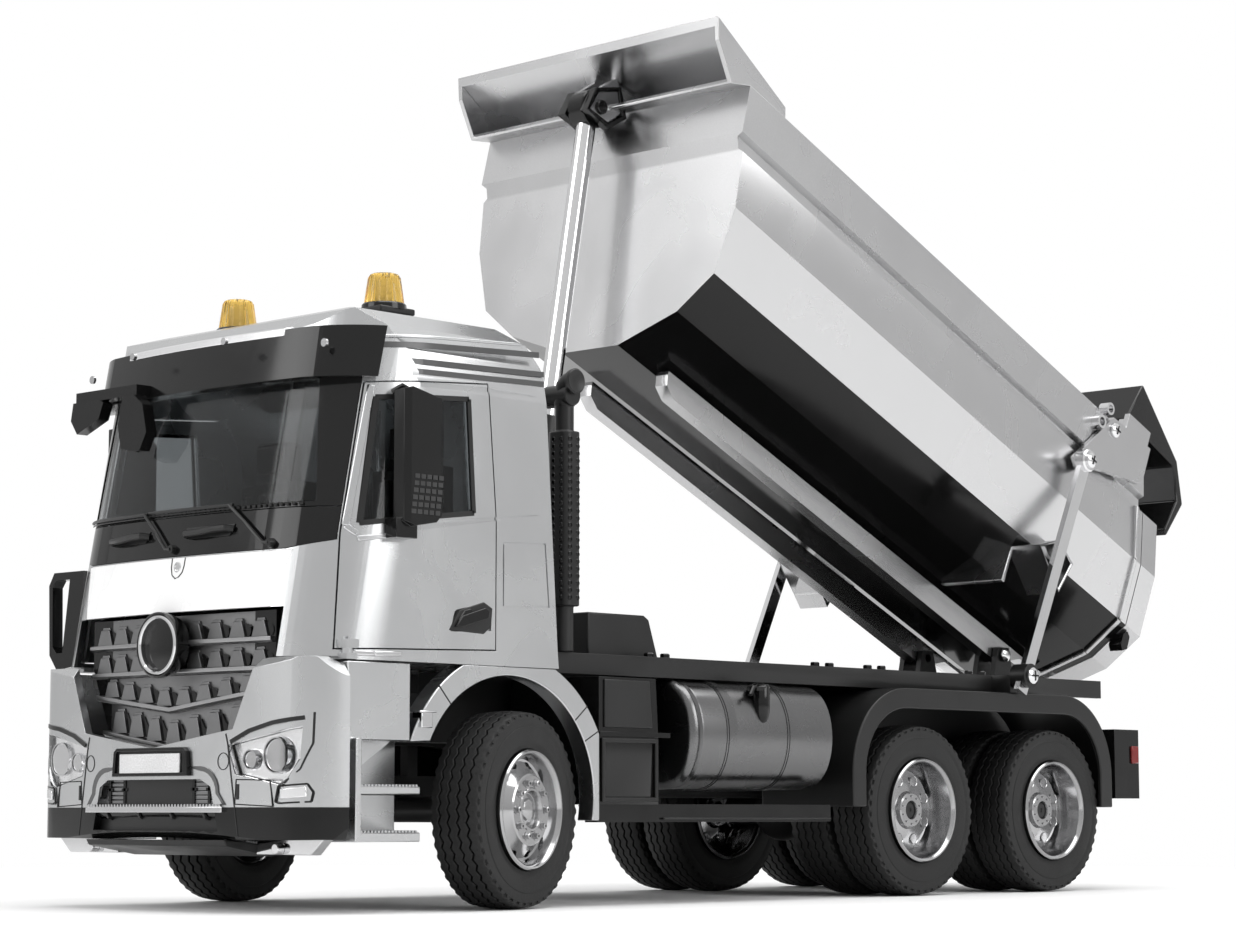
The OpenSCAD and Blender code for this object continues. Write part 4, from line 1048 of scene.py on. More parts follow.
def makeBumperStep():
    # serrated metal step below the intake
    half, z = bumper["step"]
    bm = bmesh.new()
    prism(bm,
          [(-half, nose["bumperFront"] + 0.3), (half, nose["bumperFront"] + 0.3),
           (half - 1, nose["bumperFront"] + 6),
               (-half + 1, nose["bumperFront"] + 6)], "Z", z - 1.6, z)
    addPiece("bumperStep", meshOf(bm, "bumperStep"), "rod", "truck", bevel=0.2)
    mesh = repeated(bowedRows, stepTooth(), "rod", Count=bumper["teeth"],
                    Step=(bumper["toothPitch"] * mm, 0, 0), Rows=1, Bow=0.0, Rise=0.0)
    mesh.transform(Matrix.Translation((0, frontAxleY + (nose["bumperFront"] + 2.1) * mm, (z - 0.05) * mm)))
    addPiece("bumperStepTeeth", mesh, "rod", "truck")
    # ribs on the skid plate below
    bm = bmesh.new()
    front = nose["bumperFront"]
    slope = [(front + 1.4, z - 1.4), (front + 2.2, z - 2.6), (-62, 20.4), (-58, 20.4), (-58, z - 1.4)]
    prism(bm, slope, "X", -31, 31)
    addPiece("lowerSlope", meshOf(bm, "lowerSlope"), "gloss", "truck", bevel=0.3)
    bm = bmesh.new()
    for k in range(4):
        x = -21.5 + 14 * k
        prism(bm, [(front + 1.0, z - 1.7), (front + 1.8, z - 3.1), (-62, 19.9), (-62, 21.0)], "X", x, x + 0.8)
    addPiece("skidRibs", meshOf(bm, "skidRibs"), "grey", "truck")
    bm = bmesh.new()
    for s in (-1, 1):
        prism(bm, [(s * 30, 15.2), (s * 52, 15.2), (s * 57, 19.4), (s * 30, 19.0)], "Y", -64, -60.5)
        turned(bm, [(-66.2, 0), (-66.2, 1.4), (-64, 1.6), (-64, 0)], (s * 40, 0, 16.8), "Y", 16)
    addPiece("underBrackets", meshOf(bm, "underBrackets"), "rod", "truck", bevel=0.2)


def makeLamps():
    # bright shell following the bumper, round reflectors and a clear lens
    shell, bowl, lens = bmesh.new(), bmesh.new(), bmesh.new()
    outline = bumper["lamp"]
    for s in (-1, 1):
        for bm, off in ((shell, -3.4), (lens, -0.1)):
            rows = []
            for k in range(9):
                t = k / 8
                (xa, za), (xb, zb) = lampEdge(outline, t)
                rows.append([bm.verts.new((s * (xa + (xb - xa) * u), bumperY(xa + (xb - xa) * u, off),
                                           za + (zb - za) * u)) for u in (0, 0.5, 1)])
            skin(bm, rows, loop=False, caps=())
            rim = [[bm.verts.new((s * x, bumperY(x, off - 1.1), z)) for x, z in side]
                   for side in ([lampEdge(outline, k / 8)[0] for k in range(9)],
                                [lampEdge(outline, k / 8)[1] for k in range(9)])]
            for a, b in ((0, 0), (1, 2)):
                for k in range(8):
                    bm.faces.new((rows[k][b], rows[k + 1][b], rim[a][k + 1], rim[a][k]))
        for x, z, r in (bumper["lampBig"], bumper["lampSmall"]):
            y = bumperY(x, -1.5)
            turned(bowl,
                   [(0.2, r), (0.9, r * 0.9), (1.5, r * 0.62), (1.7, r * 0.4), (0.9, r * 0.34),
                    (0.5, r * 0.2),
                          (0.4, 0)], (s * x, y, z), "Y", 40)
            turned(bowl,
                   closedProfile([(0, r - 0.2), (-0.5, r), (-0.5, r + 0.35), (2.0, r + 0.5), (2.0, r - 0.2)]),
                   (s * x, y, z), "Y", 40)
            turned(bowl, closedProfile([(1.0, r * 0.62), (0.7, r * 0.66), (0.7, r * 0.72), (1.3, r * 0.76)]),
                   (s * x, y, z), "Y", 40)
    addPiece("lampShell", meshOf(shell, "lampShell"), "bright", "truck")
    addPiece("lampLens", meshOf(lens, "lampLens"), "clear", "truck", replaces=("headlamps",))
    addPiece("lampReflectors", meshOf(bowl, "lampReflectors"), "rod", "truck")


def lampEdge(outline, t):
    # lower and upper edge of the lamp at a share of its width
    low, high = outline["low"], outline["high"]

    def along(points):
        x = points[0][0] + (points[-1][0] - points[0][0]) * t
        for (xa, za), (xb, zb) in zip(points, points[1:]):
            if xa <= x <= xb + 1e-6:
                return (x, za + (zb - za) * (x - xa) / (xb - xa))
    return along(low), along(high)


def makeFogLamps():
    bm = bmesh.new()
    for s in (-1, 1):
        bumperLine(bm, [(s * 49.4, 31.0), (s * 56.0, 31.6)], 0.35, 0.6, 2.6)
    addPiece("fogLamps", meshOf(bm, "fogLamps"), "bright", "truck", bevel=0.2)
    bm = bmesh.new()
    for s in (-1, 1):
        ring = [(48.6, 33.0), (47.6, 29.0), (49.0, 28.6), (57.0, 29.0), (57.4, 31.4), (56.2, 33.6),
                (48.6, 33.0)]
        bumperLine(bm, [(s * x, z) for x, z in ring], 0.2, 0.4, 0.45)
        ring = [(33.6, 34.8), (33.2, 28.4), (46.6, 27.8), (45.4, 34.6), (33.6, 34.8)]
        bumperLine(bm, [(s * x, z) for x, z in ring], 0.1, 0.3, 0.3)
    addPiece("fogSurrounds", meshOf(bm, "fogSurrounds"), "gloss", "truck")


makeBumperDetails()
makeBumperStep()
makeLamps()
makeFogLamps()
print("bumper made")

# Beacons

beacon = {"centre": (32.0, -22.4), "low": 166.6, "high": 175.6, "radius": 5.6, "topRadius": 4.5, "ribs": 20}


def makeBeacons():
    ribs, caps, bulbs = [], bmesh.new(), bmesh.new()
    for s in (-1, 1):
        x, y = beacon["centre"][0] * s, beacon["centre"][1]
        bm = bmesh.new()
        low, high = beacon["low"], beacon["high"]
        sides = beacon["ribs"] * 4
        rings = []
        for z, r in ((low, beacon["radius"]), (low + 0.8, beacon["radius"]),
                     (high - 1.2, beacon["topRadius"] + 0.1),
                     (high - 0.3, beacon["topRadius"] - 0.5), (high, beacon["topRadius"] - 1.2)):
            rings.append([bm.verts.new((x + math.cos(a) * (r - (0.32 if k % 4 == 0 else 0)),
                                        y + math.sin(a) * (r - (0.32 if k % 4 == 0 else 0)), z))
                          for k, a in ((k, 2 * math.pi * k / sides) for k in range(sides))])
        skin(bm, rings)
        ribs.append(meshOf(bm, "beaconLens"))
        turned(caps, [(low - 1.4, 0), (low - 1.4, 6.4), (low + 0.1, 6.3), (low + 0.5, 5.9), (low + 0.5, 0)],
               (x, y, 0), "Z", 40)
        turned(bulbs,
               [(low + 0.6, 0), (low + 0.6, 2.6), (high - 3.2, 2.2), (high - 1.8, 1.2), (high - 1.6, 0)],
               (x, y, 0), "Z", 24)
    addPiece("beaconLenses", joinedMesh("beaconLenses", ribs), "amber", "truck", replaces=("beacons",))
    addPiece("beaconFeet", meshOf(caps, "beaconFeet"), "gloss", "truck")
    addPiece("beaconCores", meshOf(bulbs, "beaconCores"), "glow", "truck")


makeBeacons()
print("beacons made")

# Sides of the cab

side = {
    "windowSeal": [(-52.4, 102.2), (-14.2, 107.2), (-16.3, 138.3), (-46.7, 136.3)], "sealWidth": 1.4,
    "windowRidge": [(-47.6, 139.6), (-55.6, 101.4), (-53.2, 99.2)], "rail": [(-47.5, 152.9), (3.6, 155.6)],
    "handle": [(-23.2, 75.0), (-19.4, 80.6), (-10.2, 83.2), (-7.0, 81.6), (-7.4, 76.6), (-10.2, 74.4)],
}


def sideX(y, z):
    # outer surface of the cab's side, rounded towards its front
    lean = math.radians(nose["lean"])
    front = nose["cabFront"] + (z - nose["leanHeight"]) * math.tan(lean) + nose["cabSet"]
    ahead = nose["cabCorner"] - (y - front)
    if ahead <= 0:
        return nose["cabHalf"]
    return nose["cabHalf"] - nose["cabCorner"] + math.sqrt(max(0.0, nose["cabCorner"] ** 2 - ahead ** 2))


def sideLine(bm, points, off, thick, width, mirror=1):
    # band laid on the side through (y, z) points
    for (y0, z0), (y1, z1) in zip(points, points[1:]):
        run = Vector((y1 - y0, z1 - z0))
        if run.length < 1e-6:
            continue
        across = Vector((-run.y, run.x)).normalized() * width / 2
        steps = max(1, int(run.length / 3))
        ring = []
        for k in range(steps + 1):
            y, z = y0 + run.x * k / steps, z0 + run.y * k / steps
            ring.append([bm.verts.new(((sideX(y + s * across.x, z) + o) * mirror, y + s * across.x,
                                       z + s * across.y))
                         for s, o in ((-1, off), (1, off), (1, off - thick), (-1, off - thick))])
        skin(bm, ring)


def slotItem(y, z):
    bm = bmesh.new()
    block(bm, (-0.15, 0.15), (-y / 2, y / 2), (-z / 2, z / 2))
    return bm


def makeCabSides():
    for s, door in ((1, "door_left"), (-1, "door_right")):
        tag = "Left" if s > 0 else "Right"
        seal = side["windowSeal"] + side["windowSeal"][:1]
        bm = bmesh.new()
        sideLine(bm, seal, 0.25, 0.7, side["sealWidth"], s)
        addPiece("windowSeal" + tag, meshOf(bm, "windowSeal"), "black", door)
        bm = bmesh.new()
        sideLine(bm, side["windowRidge"], 0.5, 0.7, 1.6, s)
        sideLine(bm, [(-53.2, 98.0), (-38.6, 100.0)], 0.5, 0.7, 1.4, s)
        addPiece("windowRidge" + tag, meshOf(bm, "windowRidge"), "silver", door, bevel=0.3)
        bm = bmesh.new()
        prism(bm, [(y, z) for y, z in side["handle"]], "X", s * 59.3, s * 60.25)
        addPiece("handleCup" + tag, meshOf(bm, "handleCup"), "black", door, bevel=0.3)
        bm = bmesh.new()
        prism(bm, [(-21.4, 76.0), (-18.8, 79.0), (-10.2, 81.6), (-8.4, 80.8), (-9.0, 78.6), (-18.6, 76.0)],
              "X",
              s * 59.9, s * 60.9)
        prism(bm, [(-20.4, 77.6), (-17.6, 80.6), (-14.6, 81.2), (-16.8, 77.9)], "X", s * 60.0, s * 60.5)
        addPiece("handleLever" + tag, meshOf(bm, "handleLever"), "gloss", door, bevel=0.35)
        bm = bmesh.new()
        sideLine(bm, [(-58.6, 67.9), (-50, 67.7), (-41.0, 67.9)], 0.9, 1.2, 1.3, s)
        addPiece("sillRidge" + tag, meshOf(bm, "sillRidge"), "rod", "truck", bevel=0.3)
        # mirror glass side: slots in the lower third
        mesh = repeated(bowedRows, slotItem(1.7, 1.2), "grey", Count=5, Step=(0, 2.15 * mm, 0), Rows=6,
                        RowStep=(0, 0.25 * mm, 1.9 * mm), Bow=0.0, Rise=0.0)
        mesh.transform(Matrix.Translation((s * 65.72 * mm, frontAxleY - 36.6 * mm, 110.2 * mm)))
        addPiece("mirrorSlots" + tag, mesh, "grey", door)
        bm = bmesh.new()
        tube(bm, [(s * 61, -43, 102.5), (s * 62.6, -42.4, 104), (s * 63.2, -40, 106)], 1.1, 8)
        tube(bm, [(s * 59.6, -44, 137.6), (s * 62, -42.5, 139.2), (s * 63.4, -40, 137.6)], 0.8, 8)
        turned(bm, [(58.8 * s, 0), (58.8 * s, 2.2), (61.4 * s, 2.0), (61.8 * s, 1.2), (61.8 * s, 0)],
               (0, -42.6, 102.4),
               "X", 16)
        addPiece("mirrorJoints" + tag, meshOf(bm, "mirrorJoints"), "gloss", door)
    bm = bmesh.new()
    for s in (-1, 1):
        sideLine(bm, side["rail"], 0.7, 1.0, 0.9, s)
    addPiece("dripRails", meshOf(bm, "dripRails"), "silver", "truck", bevel=0.3)
    # painted shade: dark silver lines under the drip rails and in the two grooves along the cab's sides
    bm = bmesh.new()
    for s in (-1, 1):
        sideLine(bm, [(-47.6, 150.6), (10.6, 153.4)], 0.12, 0.3, 1.6, s)
        for z in (143.6, 146.3):
            sideLine(bm, [(13.0, z + 1.9), (-10, z + 1.2), (-33, z + 0.6), (-47.5, z + 0.2)], -0.3, 0.2,
                     1.5, s)
    addPiece("sideBands", meshOf(bm, "sideBands"), "shade", "truck")


def makeVisorDetails():
    bm = bmesh.new()
    for s in (-1, 1):
        turned(bm, [(-0.2, 0), (-0.2, 1.15), (0.5, 1.15), (0.8, 0.8), (0.8, 0.35), (0.5, 0.3), (0.5, 0)],
               (s * 50.8, -60.4, 150.0), "Y", 18)
        turned(bm, [(-0.8, 0), (-0.8, 1.0), (0.2, 1.0), (0.2, 0)], (s * 20, -68.9, 152.6), "Y", 18)
    addPiece("visorScrews", meshOf(bm, "visorScrews"), "steel", "truck")
    # a tray on top of the visor, its bright silver a painted highlight along the visor's top edge
    bm = bmesh.new()
    lean = math.tan(math.radians(nose["lean"]))
    xs = [-34 + 68 * k / 16 for k in range(17)]
    ring = []
    for x in xs:
        y = cabY(x, 155, 4.2)
        ring.append([bm.verts.new((x, y + dy, z)) for dy,
                     z in ((-0.3, 153.6), (0.2, 155.8), (3.4, 156.6), (3.4, 154.8))])
    skin(bm, ring)
    addPiece("visorTray", meshOf(bm, "visorTray"), "bright", "truck", bevel=0.3)


def makeArchDetails():
    bm = bmesh.new()
    lines = bmesh.new()
    for s in (-1, 1):
        for angle in (132, 40, 28):
            a = math.radians(angle)
            inner, outer = 33.2, 39.6
            d = Vector((math.cos(a), math.sin(a)))
            n = Vector((-d.y, d.x)) * 0.16
            p = [d * inner - n, d * outer - n, d * outer + n, d * inner + n]
            prism(lines, [(q.x, q.y + 30.5) for q in p], "X", s * 59.8, s * 60.1)
        block(bm, (s * 57, s * 60.9), (-33.6, -29.6), (48.6, 53.0))
        block(bm, (s * 57, s * 61.6), (-34.8, -28.8), (52.6, 53.2))
    addPiece("archSeams", meshOf(lines, "archSeams"), "black", "truck")
    addPiece("archLamps", meshOf(bm, "archLamps"), "rod", "truck", bevel=0.25)
    for n, z in enumerate((33.0, 21.0)):
        tooth = bmesh.new()
        prism(tooth, [(-0.4, 0), (0.4, 0), (0.2, 0.55), (-0.2, 0.55)], "X", 50.2, 61.8)
        mesh = repeated(bowedRows, tooth, "silver", Count=18, Step=(0, 1.2 * mm, 0), Rows=1, Bow=0.0,
                        Rise=0.0)
        both = joinedMesh("stepTeeth", [mesh, placed(mesh, Matrix.Rotation(math.pi, 4, "Z"))])
        both.transform(Matrix.Translation((0, frontAxleY - 46.3 * mm, z * mm)))
        addPiece(f"stepTeeth{n}", both, "silver", "truck")


makeCabSides()
makeVisorDetails()
makeArchDetails()
print("cab sides made")

# Cab inside

inside = {"seat": (29.0, -21.0)}


def makeInterior():
    bm = bmesh.new()
    for s in (-1, 1):
        x, y = inside["seat"][0] * s, inside["seat"][1]
        for k in range(-1, 2):
            block(bm, (x + k * 6.5 - 2.6, x + k * 6.5 + 2.6), (y + 7.2, y + 8.8), (94, 119))
        block(bm, (x - 5.6, x + 5.6), (y + 8.4, y + 10.4), (125, 133))
    addPiece("seatPads", meshOf(bm, "seatPads"), "grey", "truck", bevel=1.0)
    bm = bmesh.new()
    for x in (-6.0, 9.0, 17.0):
        block(bm, (x, x + 1.7), (-4.6, -3.8), (104, 141))
    addPiece("seatBelts", meshOf(bm, "seatBelts"), "bright", "truck", bevel=0.3)
    bm = bmesh.new()
    for x in (-34, -20, 2, 40):
        block(bm, (x - 4, x + 4), (-60.5, -57.5), (98.6, 100.4))
    for x in range(-44, 46, 3):
        block(bm, (x, x + 1.6), (-63.6, -62.0), (98.6, 99.6))
    addPiece("dashTrim", meshOf(bm, "dashTrim"), "grey", "truck", bevel=0.3)


makeInterior()
print("cab inside made")

# Deck, tank and tool box

tank = {"front": 74.5, "back": 139.0, "inner": 20.4, "outer": 60.0, "low": 32.9, "high": 65.3, "flat": 45.0,
        "straps": (92.0, 119.5), "strapWidth": 4.6, "filler": 106.5}
ends = [(0.0, 2.2), (0.5, 0.9), (1.4, 0.2), (2.2, 0.0), (2.9, 0.3), (3.3, 1.1), (4.2, 1.2), (4.8, 0.4),
        (5.4, 0.25)]


def tankSection(inset):
    low, high = tank["low"] + inset, tank["high"] - inset
    mid, half = (low + high) / 2, (high - low) / 2
    points = [(tank["inner"], low)]
    for k in range(25):
        a = -math.pi / 2 + math.pi * k / 24
        points.append((tank["flat"] + (tank["outer"] - tank["flat"] - inset) * max(0, math.cos(a)) ** 0.72,
                       mid + half * math.sin(a)))
    points.append((tank["inner"], high))
    return points


def makeTanks():
    bm = bmesh.new()
    straps = bmesh.new()
    fillers = bmesh.new()
    for s in (-1, 1):
        stations = [(tank["front"] + d, i) for d, i in ends] + [(tank["back"] - 0.8, 0.25),
                                                                (tank["back"] - 0.2, 0.8),
                                                               (tank["back"], 2.0)]
        rings = [[bm.verts.new((s * x, y, z)) for x, z in tankSection(i)] for y, i in stations]
        skin(bm, rings)
        for y in tank["straps"]:
            for wide, off in ((tank["strapWidth"], 0.05), (tank["strapWidth"] - 1.6, -0.12)):
                ring = [[straps.verts.new((s * x, y + d, z)) for x, z in tankSection(i)]
                        for d, i in ((-wide / 2, 0.6), (-wide / 2, off), (wide / 2, off), (wide / 2, 0.6))]
                skin(straps, ring, loop=False, caps=())
        y = tank["filler"]
        turned(fillers, [(52.6, 0), (53.0, 1.2), (54.2, 2.1), (56, 2.5), (63.6, 2.6), (64.4, 2.2), (64.4, 0)],
               (s * 58.6, y, 0), "Z", 24)
        turned(fillers, [(62.4, 0), (62.4, 3.4), (63.6, 3.6), (64.2, 3.0), (64.8, 1.4), (65.0, 0)],
               (s * 57.6, y, 0), "Z", 24)
        tube(fillers, [(s * 58, y - 1, 64.2), (s * 59.4, y - 4.6, 63.4), (s * 59.8, y - 6.4, 61.0)], 0.7, 8)
    addPiece("tankBodies", meshOf(bm, "tankBodies"), "tank", "truck", replaces=("fuel_tanks",))
    addPiece("tankStraps", meshOf(straps, "tankStraps"), "tank", "truck")
    addPiece("tankFillers", meshOf(fillers, "tankFillers"), "gloss", "truck")


def boltItem():
    bm = bmesh.new()
    hexNut(bm, (0, 0, 0), 1.5, 1.5, "Z")
    return bm


def makeDeckDetails():
    meshes = []
    for y in (73.5, 149.5, 175.5, 228.5):
        for x in (-46.5, 46.5):
            mesh = repeated(bowedRows, boltItem(), "black", Count=2, Step=(0, 7 * mm, 0), Rows=1, Bow=0.0,
                            Rise=0.0)
            mesh.transform(Matrix.Translation((x * mm, frontAxleY + y * mm, 71.4 * mm)))
            meshes.append(mesh)
    addPiece("deckBolts", joinedMesh("deckBolts", meshes), "gloss", "truck")
    bm = bmesh.new()
    for s in (-1, 1):
        frameBand(bm, [(36.2, 29.2), (59.4, 29.2), (59.4, 47.2), (36.2, 47.2)], 1.3, "X", s * 59.6, s * 60.4)
        prism(bm, [(37.4, 50.2), (57.2, 50.2), (56.0, 63.8), (37.4, 63.8)], "X", s * 59.2, s * 60.1)
        block(bm, (s * 59.4, s * 60.2), (62, 137), (24.2, 24.8))
    addPiece("toolboxTrim", meshOf(bm, "toolboxTrim"), "black", "truck", bevel=0.3)
    # dimples of the stack's shield
    bm = bmesh.new()
    turned(bm, [(0, 0.78), (0.16, 0.62), (0.16, 0.5), (-0.1, 0.42), (-0.1, 0)], (0, 0, 0), "X", 12)
    mesh = repeated(bowedRows, bm, "gloss", Count=2, Step=(0, 3.0 * mm, 0), Rows=23,
                    RowStep=(0, 0, 2.06 * mm),
                    Bow=0.0, Rise=0.0)
    outer = placed(mesh, Matrix.Translation((54.0 * mm, frontAxleY + 31 * mm, 109.5 * mm)))
    ahead = placed(mesh, Matrix.Translation((50.6 * mm, frontAxleY + 27.5 * mm, 109.5 * mm))
                   @ Matrix.Rotation(-math.pi / 2, 4, "Z"))
    addPiece("stackDimples", joinedMesh("stackDimples", [outer, ahead]), "gloss", "truck")
    bm = bmesh.new()
    tube(bm, [(50, 31, 142), (50, 31, 145), (50.6, 31, 147.6), (52, 31, 148.6), (53.6, 31, 148.8)], 3.0, 20)
    turned(bm, [(53.4, 0), (53.4, 3.5), (54.6, 3.7), (55.0, 3.2), (54.8, 2.6), (54.4, 0)], (0, 31, 148.8),
           "X", 28)
    addPiece("stackElbow", meshOf(bm, "stackElbow"), "black", "truck")


def makeTailLamps():
    bm = bmesh.new()
    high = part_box("side_boxes")[1]
    y = (high.y - frontAxleY) / mm - 14.5
    for s in (-1, 1):
        prism(bm, [(y + 9.5, 43), (y + 13.6, 43), (y + 13.6, 49), (y + 9.5, 49)], "X", s * 58.8, s * 59.8)
        block(bm, (s * 34, s * 52), (y + 14.2, y + 15.2), (42, 49))
    addPiece("tailLamps", meshOf(bm, "tailLamps"), "red", "truck", bevel=0.4)


makeTanks()
makeDeckDetails()
makeTailLamps()
print("deck and tanks made")

# Bed and its levers

bedDraw = {"hinge": (278.5, 81.0), "floor": 86.7, "top": 161.4, "rear": 311.5, "front": 72.4, "half": 57.4,
           "gatePin": (260.0, 157.1), "linkPin": (246.3, 137.3), "linkFoot": (235.7, 71.0),
           "ramPin": (40.3, 156.0)}
section = [(12, 0), (36, 7.8), (50, 17.8), (56.2, 37.2), (57.0, 54.3)]


def screwHead(bm, centre, s, r=2.3):
    # round head with a crossed slot
    x, y, z = centre
    turned(bm, [(x, r), (x + 0.7 * s, r), (x + 1.3 * s, r * 0.72), (x + 1.5 * s, r * 0.5), (x + 1.5 * s, 0)],
           (0, y, z), "X", 24)


def crossSlot(bm, centre, s, r=2.3):
    x, y, z = centre
    block(bm, sorted((x + 1.2 * s, x + 1.62 * s)), (y - r * 0.62, y + r * 0.62), (z - 0.28, z + 0.28))
    block(bm, sorted((x + 1.2 * s, x + 1.62 * s)), (y - 0.28, y + 0.28), (z - r * 0.62, z + r * 0.62))


def makeBedDetails():
    bm = bmesh.new()
    low, top, rear = bedDraw["floor"], bedDraw["top"], bedDraw["rear"]
    # raised strip round the rear of the bed, square to the leaning rear edge
    path = [(x, z + low) for x, z in section]
    for s in (-1, 1):
        for (x0, z0), (x1, z1) in zip(path, path[1:]):
            run = Vector((x1 - x0, z1 - z0)).normalized()
            out = Vector((run.y, -run.x)) * 1.1
            corners = []
            for x, z in ((x0, z0), (x1, z1)):
                y = rear - 0.4 * (z - low)
                corners.append(((x, z), y - 5.4, y - 3.6))
            verts = []
            for (x, z), ya, yb in corners:
                verts.append([bm.verts.new((s * (x + o * out.x), yy, z + o * out.y))
                              for o, yy in ((-0.2, ya), (1, ya), (1, yb), (-0.2, yb))])
            skin(bm, verts)
        # bracket with an open inside on the lower side
        frameBand(bm, [(239, 101.4), (255.4, 91.4), (259.4, 104.6), (249, 108.4)], 1.0, "X", s * 44, s * 57.2)
        # thin rib from the bracket to the rail
        prism(bm, [(238.4, 88.2), (240.0, 88.2), (240.2, 101.4), (238.8, 101.4)], "X", s * 20, s * 46)
    addPiece("bedStrips", meshOf(bm, "bedStrips", bedPlace), "bed", "bed", bevel=0.3)
    # hinge tubes on the rail by the tailgate's lever
    bm = bmesh.new()
    for s in (-1, 1):
        for y, z, r, wide in ((251.4, 155.9, 2.4, 4.2), (255.0, 163.0, 2.2, 3.6)):
            turned(bm, closedProfile([(56.4 * s, r), ((56.4 + wide) * s, r), ((56.4 + wide) * s, r * 0.62),
                                      (56.4 * s, r * 0.62)]), (0, y, z), "X", 28)
        turned(bm, [(60.2 * s, 3.9), (63.4 * s, 3.9), (63.9 * s, 3.4), (63.9 * s, 0)],
               (0, *bedDraw["linkPin"]), "X", 32)
    addPiece("leverBosses", meshOf(bm, "leverBosses", bedPlace), "rod", "tailgate")
    heads, slots = bmesh.new(), bmesh.new()
    for s in (-1, 1):
        for (y, z), x, r in ((bedDraw["gatePin"], 59.9, 2.5), (bedDraw["linkPin"], 63.8, 2.6)):
            screwHead(heads, (x * s, y, z), s, r)
            crossSlot(slots, (x * s, y, z), s, r)
    addPiece("leverScrews", meshOf(heads, "leverScrews", bedPlace), "rod", "tailgate")
    addPiece("leverScrewSlots", meshOf(slots, "leverScrewSlots", bedPlace), "black", "tailgate")
    heads, slots = bmesh.new(), bmesh.new()
    for s in (-1, 1):
        y, z = bedDraw["linkFoot"]
        screwHead(heads, (64.4 * s, y, z), s, 2.7)
        crossSlot(slots, (64.4 * s, y, z), s, 2.7)
        y, z = bedDraw["hinge"]
        screwHead(heads, (22.0 * s, y, z), s, 2.4)
    addPiece("footScrews", meshOf(heads, "footScrews"), "rod", "truck")
    addPiece("footScrewSlots", meshOf(slots, "footScrewSlots"), "black", "truck")
    # latch marks by the foot of the tailgate
    bm = bmesh.new()
    for s in (-1, 1):
        prism(bm,
              [(305.6, 97.4), (307.2, 95.8), (309.6, 97.6), (309.4, 102.2), (307.6, 103.4), (305.6, 101.6)],
              "X",
              s * 44, s * 49.2)
    addPiece("latchMarks", meshOf(bm, "latchMarks", bedPlace), "gloss", "tailgate")


def makeRamHead():
    bm = bmesh.new()
    for s in (-1, 1):
        turned(bm, [(5.5 * s, 0), (5.5 * s, 2.4), (6.6 * s, 2.2), (6.8 * s, 1.2), (6.8 * s, 0)],
               (0, *bedDraw["ramPin"]),
               "X", 24)
        frameBand(bm, [(34.6, 151.4), (45.6, 151.4), (51.0, 158.6), (45.2, 167.0), (35.6, 160.4)], 1.4, "X",
                  s * 3.7,
                  s * 6.2)
    addPiece("ramEars", meshOf(bm, "ramEars", bedPlace), "gloss", "bed", bevel=0.3)
    bm = bmesh.new()
    y, z = bedDraw["ramPin"]
    turned(bm, closedProfile([(-3.4, 5.9), (-3.0, 6.2), (3.0, 6.2), (3.4, 5.9), (3.4, 4.0), (-3.4, 4.0)]),
           (0, y, z), "X", 40)
    addPiece("ramEyeSleeve", meshOf(bm, "ramEyeSleeve", bedPlace), "gloss", "ram_rod")


makeBedDetails()
makeRamHead()
print("bed details made")


# Floor, light and camera

studio = {
    "floorTone": 0.78, "paper": (0.22, 0.6),  # metres
    "skyTone": 0.95,
    "horizonTone": 0.7,
    "groundTone": 0.12,
    "lights": {  # place, target, size in metres, watts
        "topSoftbox": ((0.2, 0.1, 1.3), (0, 0, 0.1), (1.2, 1.2), 14),
        "frontSoftbox": ((-0.5, -1.4, 0.8), (0, -0.1, 0.1), (0.9, 0.9), 9),
        "sideSoftbox": ((1.5, 0.3, 0.8), (0, 0.05, 0.12), (0.9, 0.9), 10),
    },
    "cameraPlace": (653.54, -711.58, 26.29),  # mm
    "cameraYaw": 43.64,
    "cameraPitch": 6.52,
    "lens": 88.0,
}


def makeFloor():
    bpy.ops.mesh.primitive_plane_add(size=60)
    floor = bpy.context.object
    floor.name = "studioFloor"
    material, shader = newMaterial("floorPaper", (studio["floorTone"],) * 3)
    speckle = placeGroup(material, handlingMarks, Scale=3.0, Low=0.75, High=0.85)
    add, link = material.node_tree.nodes.new, material.node_tree.links.new
    link(speckle.outputs["Roughness"], shader.inputs["Roughness"])
    # away from the object the paper fades into the white backdrop
    place, reach, fade = add("ShaderNodeTexCoord"), add("ShaderNodeVectorMath"), add("ShaderNodeMapRange")
    ray, seen = add("ShaderNodeLightPath"), add("ShaderNodeMath")
    glow, blend = add("ShaderNodeEmission"), add("ShaderNodeMixShader")
    reach.operation, seen.operation, fade.interpolation_type = "LENGTH", "MULTIPLY", "SMOOTHSTEP"
    fade.inputs["From Min"].default_value, fade.inputs["From Max"].default_value = studio["paper"]
    link(place.outputs["Object"], reach.inputs[0])
    link(reach.outputs["Value"], fade.inputs["Value"])
    link(fade.outputs["Result"], seen.inputs[0])
    link(ray.outputs["Is Camera Ray"], seen.inputs[1])
    link(seen.outputs["Value"], blend.inputs["Fac"])
    link(shader.outputs[0], blend.inputs[1])
    link(glow.outputs[0], blend.inputs[2])
    link(blend.outputs[0], material.node_tree.nodes["Material Output"].inputs["Surface"])
    floor.data.materials.append(material)


def addLight(name, place, target, size, power):
    data = bpy.data.lights.new(name, "AREA")
    data.shape = "RECTANGLE"
    data.size, data.size_y = size
    data.energy = power
    lamp = bpy.data.objects.new(name, data)
    bpy.context.scene.collection.objects.link(lamp)
    lamp.location = place
    lamp.rotation_euler = (Vector(target) - Vector(place)).to_track_quat("-Z", "Y").to_euler()


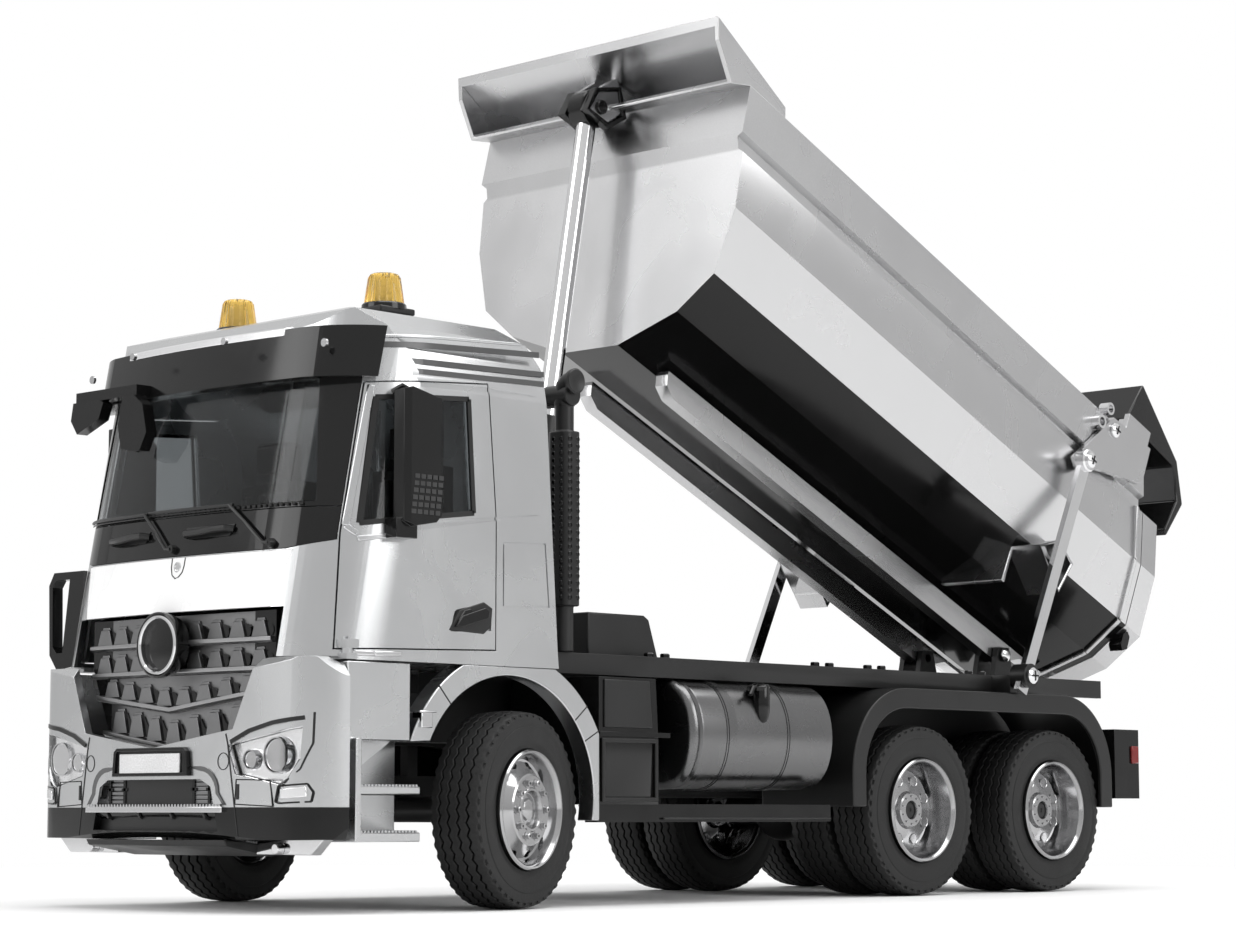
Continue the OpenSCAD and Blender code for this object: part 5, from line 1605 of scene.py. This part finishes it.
def makeStudio():
    makeFloor()
    world = bpy.data.worlds.new("studioWorld")
    bpy.context.scene.world = world
    world.use_nodes = True
    # soft room: bright above, darker at the floor, plain white behind the object
    add, link = world.node_tree.nodes.new, world.node_tree.links.new
    out = world.node_tree.nodes["World Output"]
    room = world.node_tree.nodes["Background"]
    backdrop, choose = add("ShaderNodeBackground"), add("ShaderNodeMixShader")
    ray = add("ShaderNodeLightPath")
    place, split, ramp = add("ShaderNodeTexCoord"), add("ShaderNodeSeparateXYZ"), add("ShaderNodeValToRGB")
    height = add("ShaderNodeMapRange")
    height.inputs["From Min"].default_value = -1
    link(place.outputs["Generated"], split.inputs[0])
    link(split.outputs["Z"], height.inputs["Value"])
    link(height.outputs["Result"], ramp.inputs["Fac"])
    ramp.color_ramp.elements[0].position = 0.42
    ramp.color_ramp.elements[0].color = (studio["groundTone"],) * 3 + (1,)
    ramp.color_ramp.elements[1].position = 1.0
    ramp.color_ramp.elements[1].color = (studio["skyTone"],) * 3 + (1,)
    middle = ramp.color_ramp.elements.new(0.52)
    middle.color = (studio["horizonTone"],) * 3 + (1,)
    link(ramp.outputs["Color"], room.inputs["Color"])
    link(ray.outputs["Is Camera Ray"], choose.inputs["Fac"])
    link(room.outputs[0], choose.inputs[1])
    link(backdrop.outputs[0], choose.inputs[2])
    backdrop.inputs["Color"].default_value = (1, 1, 1, 1)
    link(choose.outputs[0], out.inputs["Surface"])
    bpy.context.scene.view_settings.view_transform = "Standard"
    for name, light in studio["lights"].items():
        addLight(name, *light)


def makeCamera():
    data = bpy.data.cameras.new("shotCamera")
    data.lens = studio["lens"]
    data.sensor_width = 36
    data.clip_start = 0.01
    camera = bpy.data.objects.new("shotCamera", data)
    bpy.context.scene.collection.objects.link(camera)
    camera.location = Vector(studio["cameraPlace"]) * mm
    camera.rotation_euler = (math.radians(90 + studio["cameraPitch"]), 0, math.radians(studio["cameraYaw"]))
    bpy.context.scene.camera = camera


makeStudio()
makeCamera()
print("studio ready")
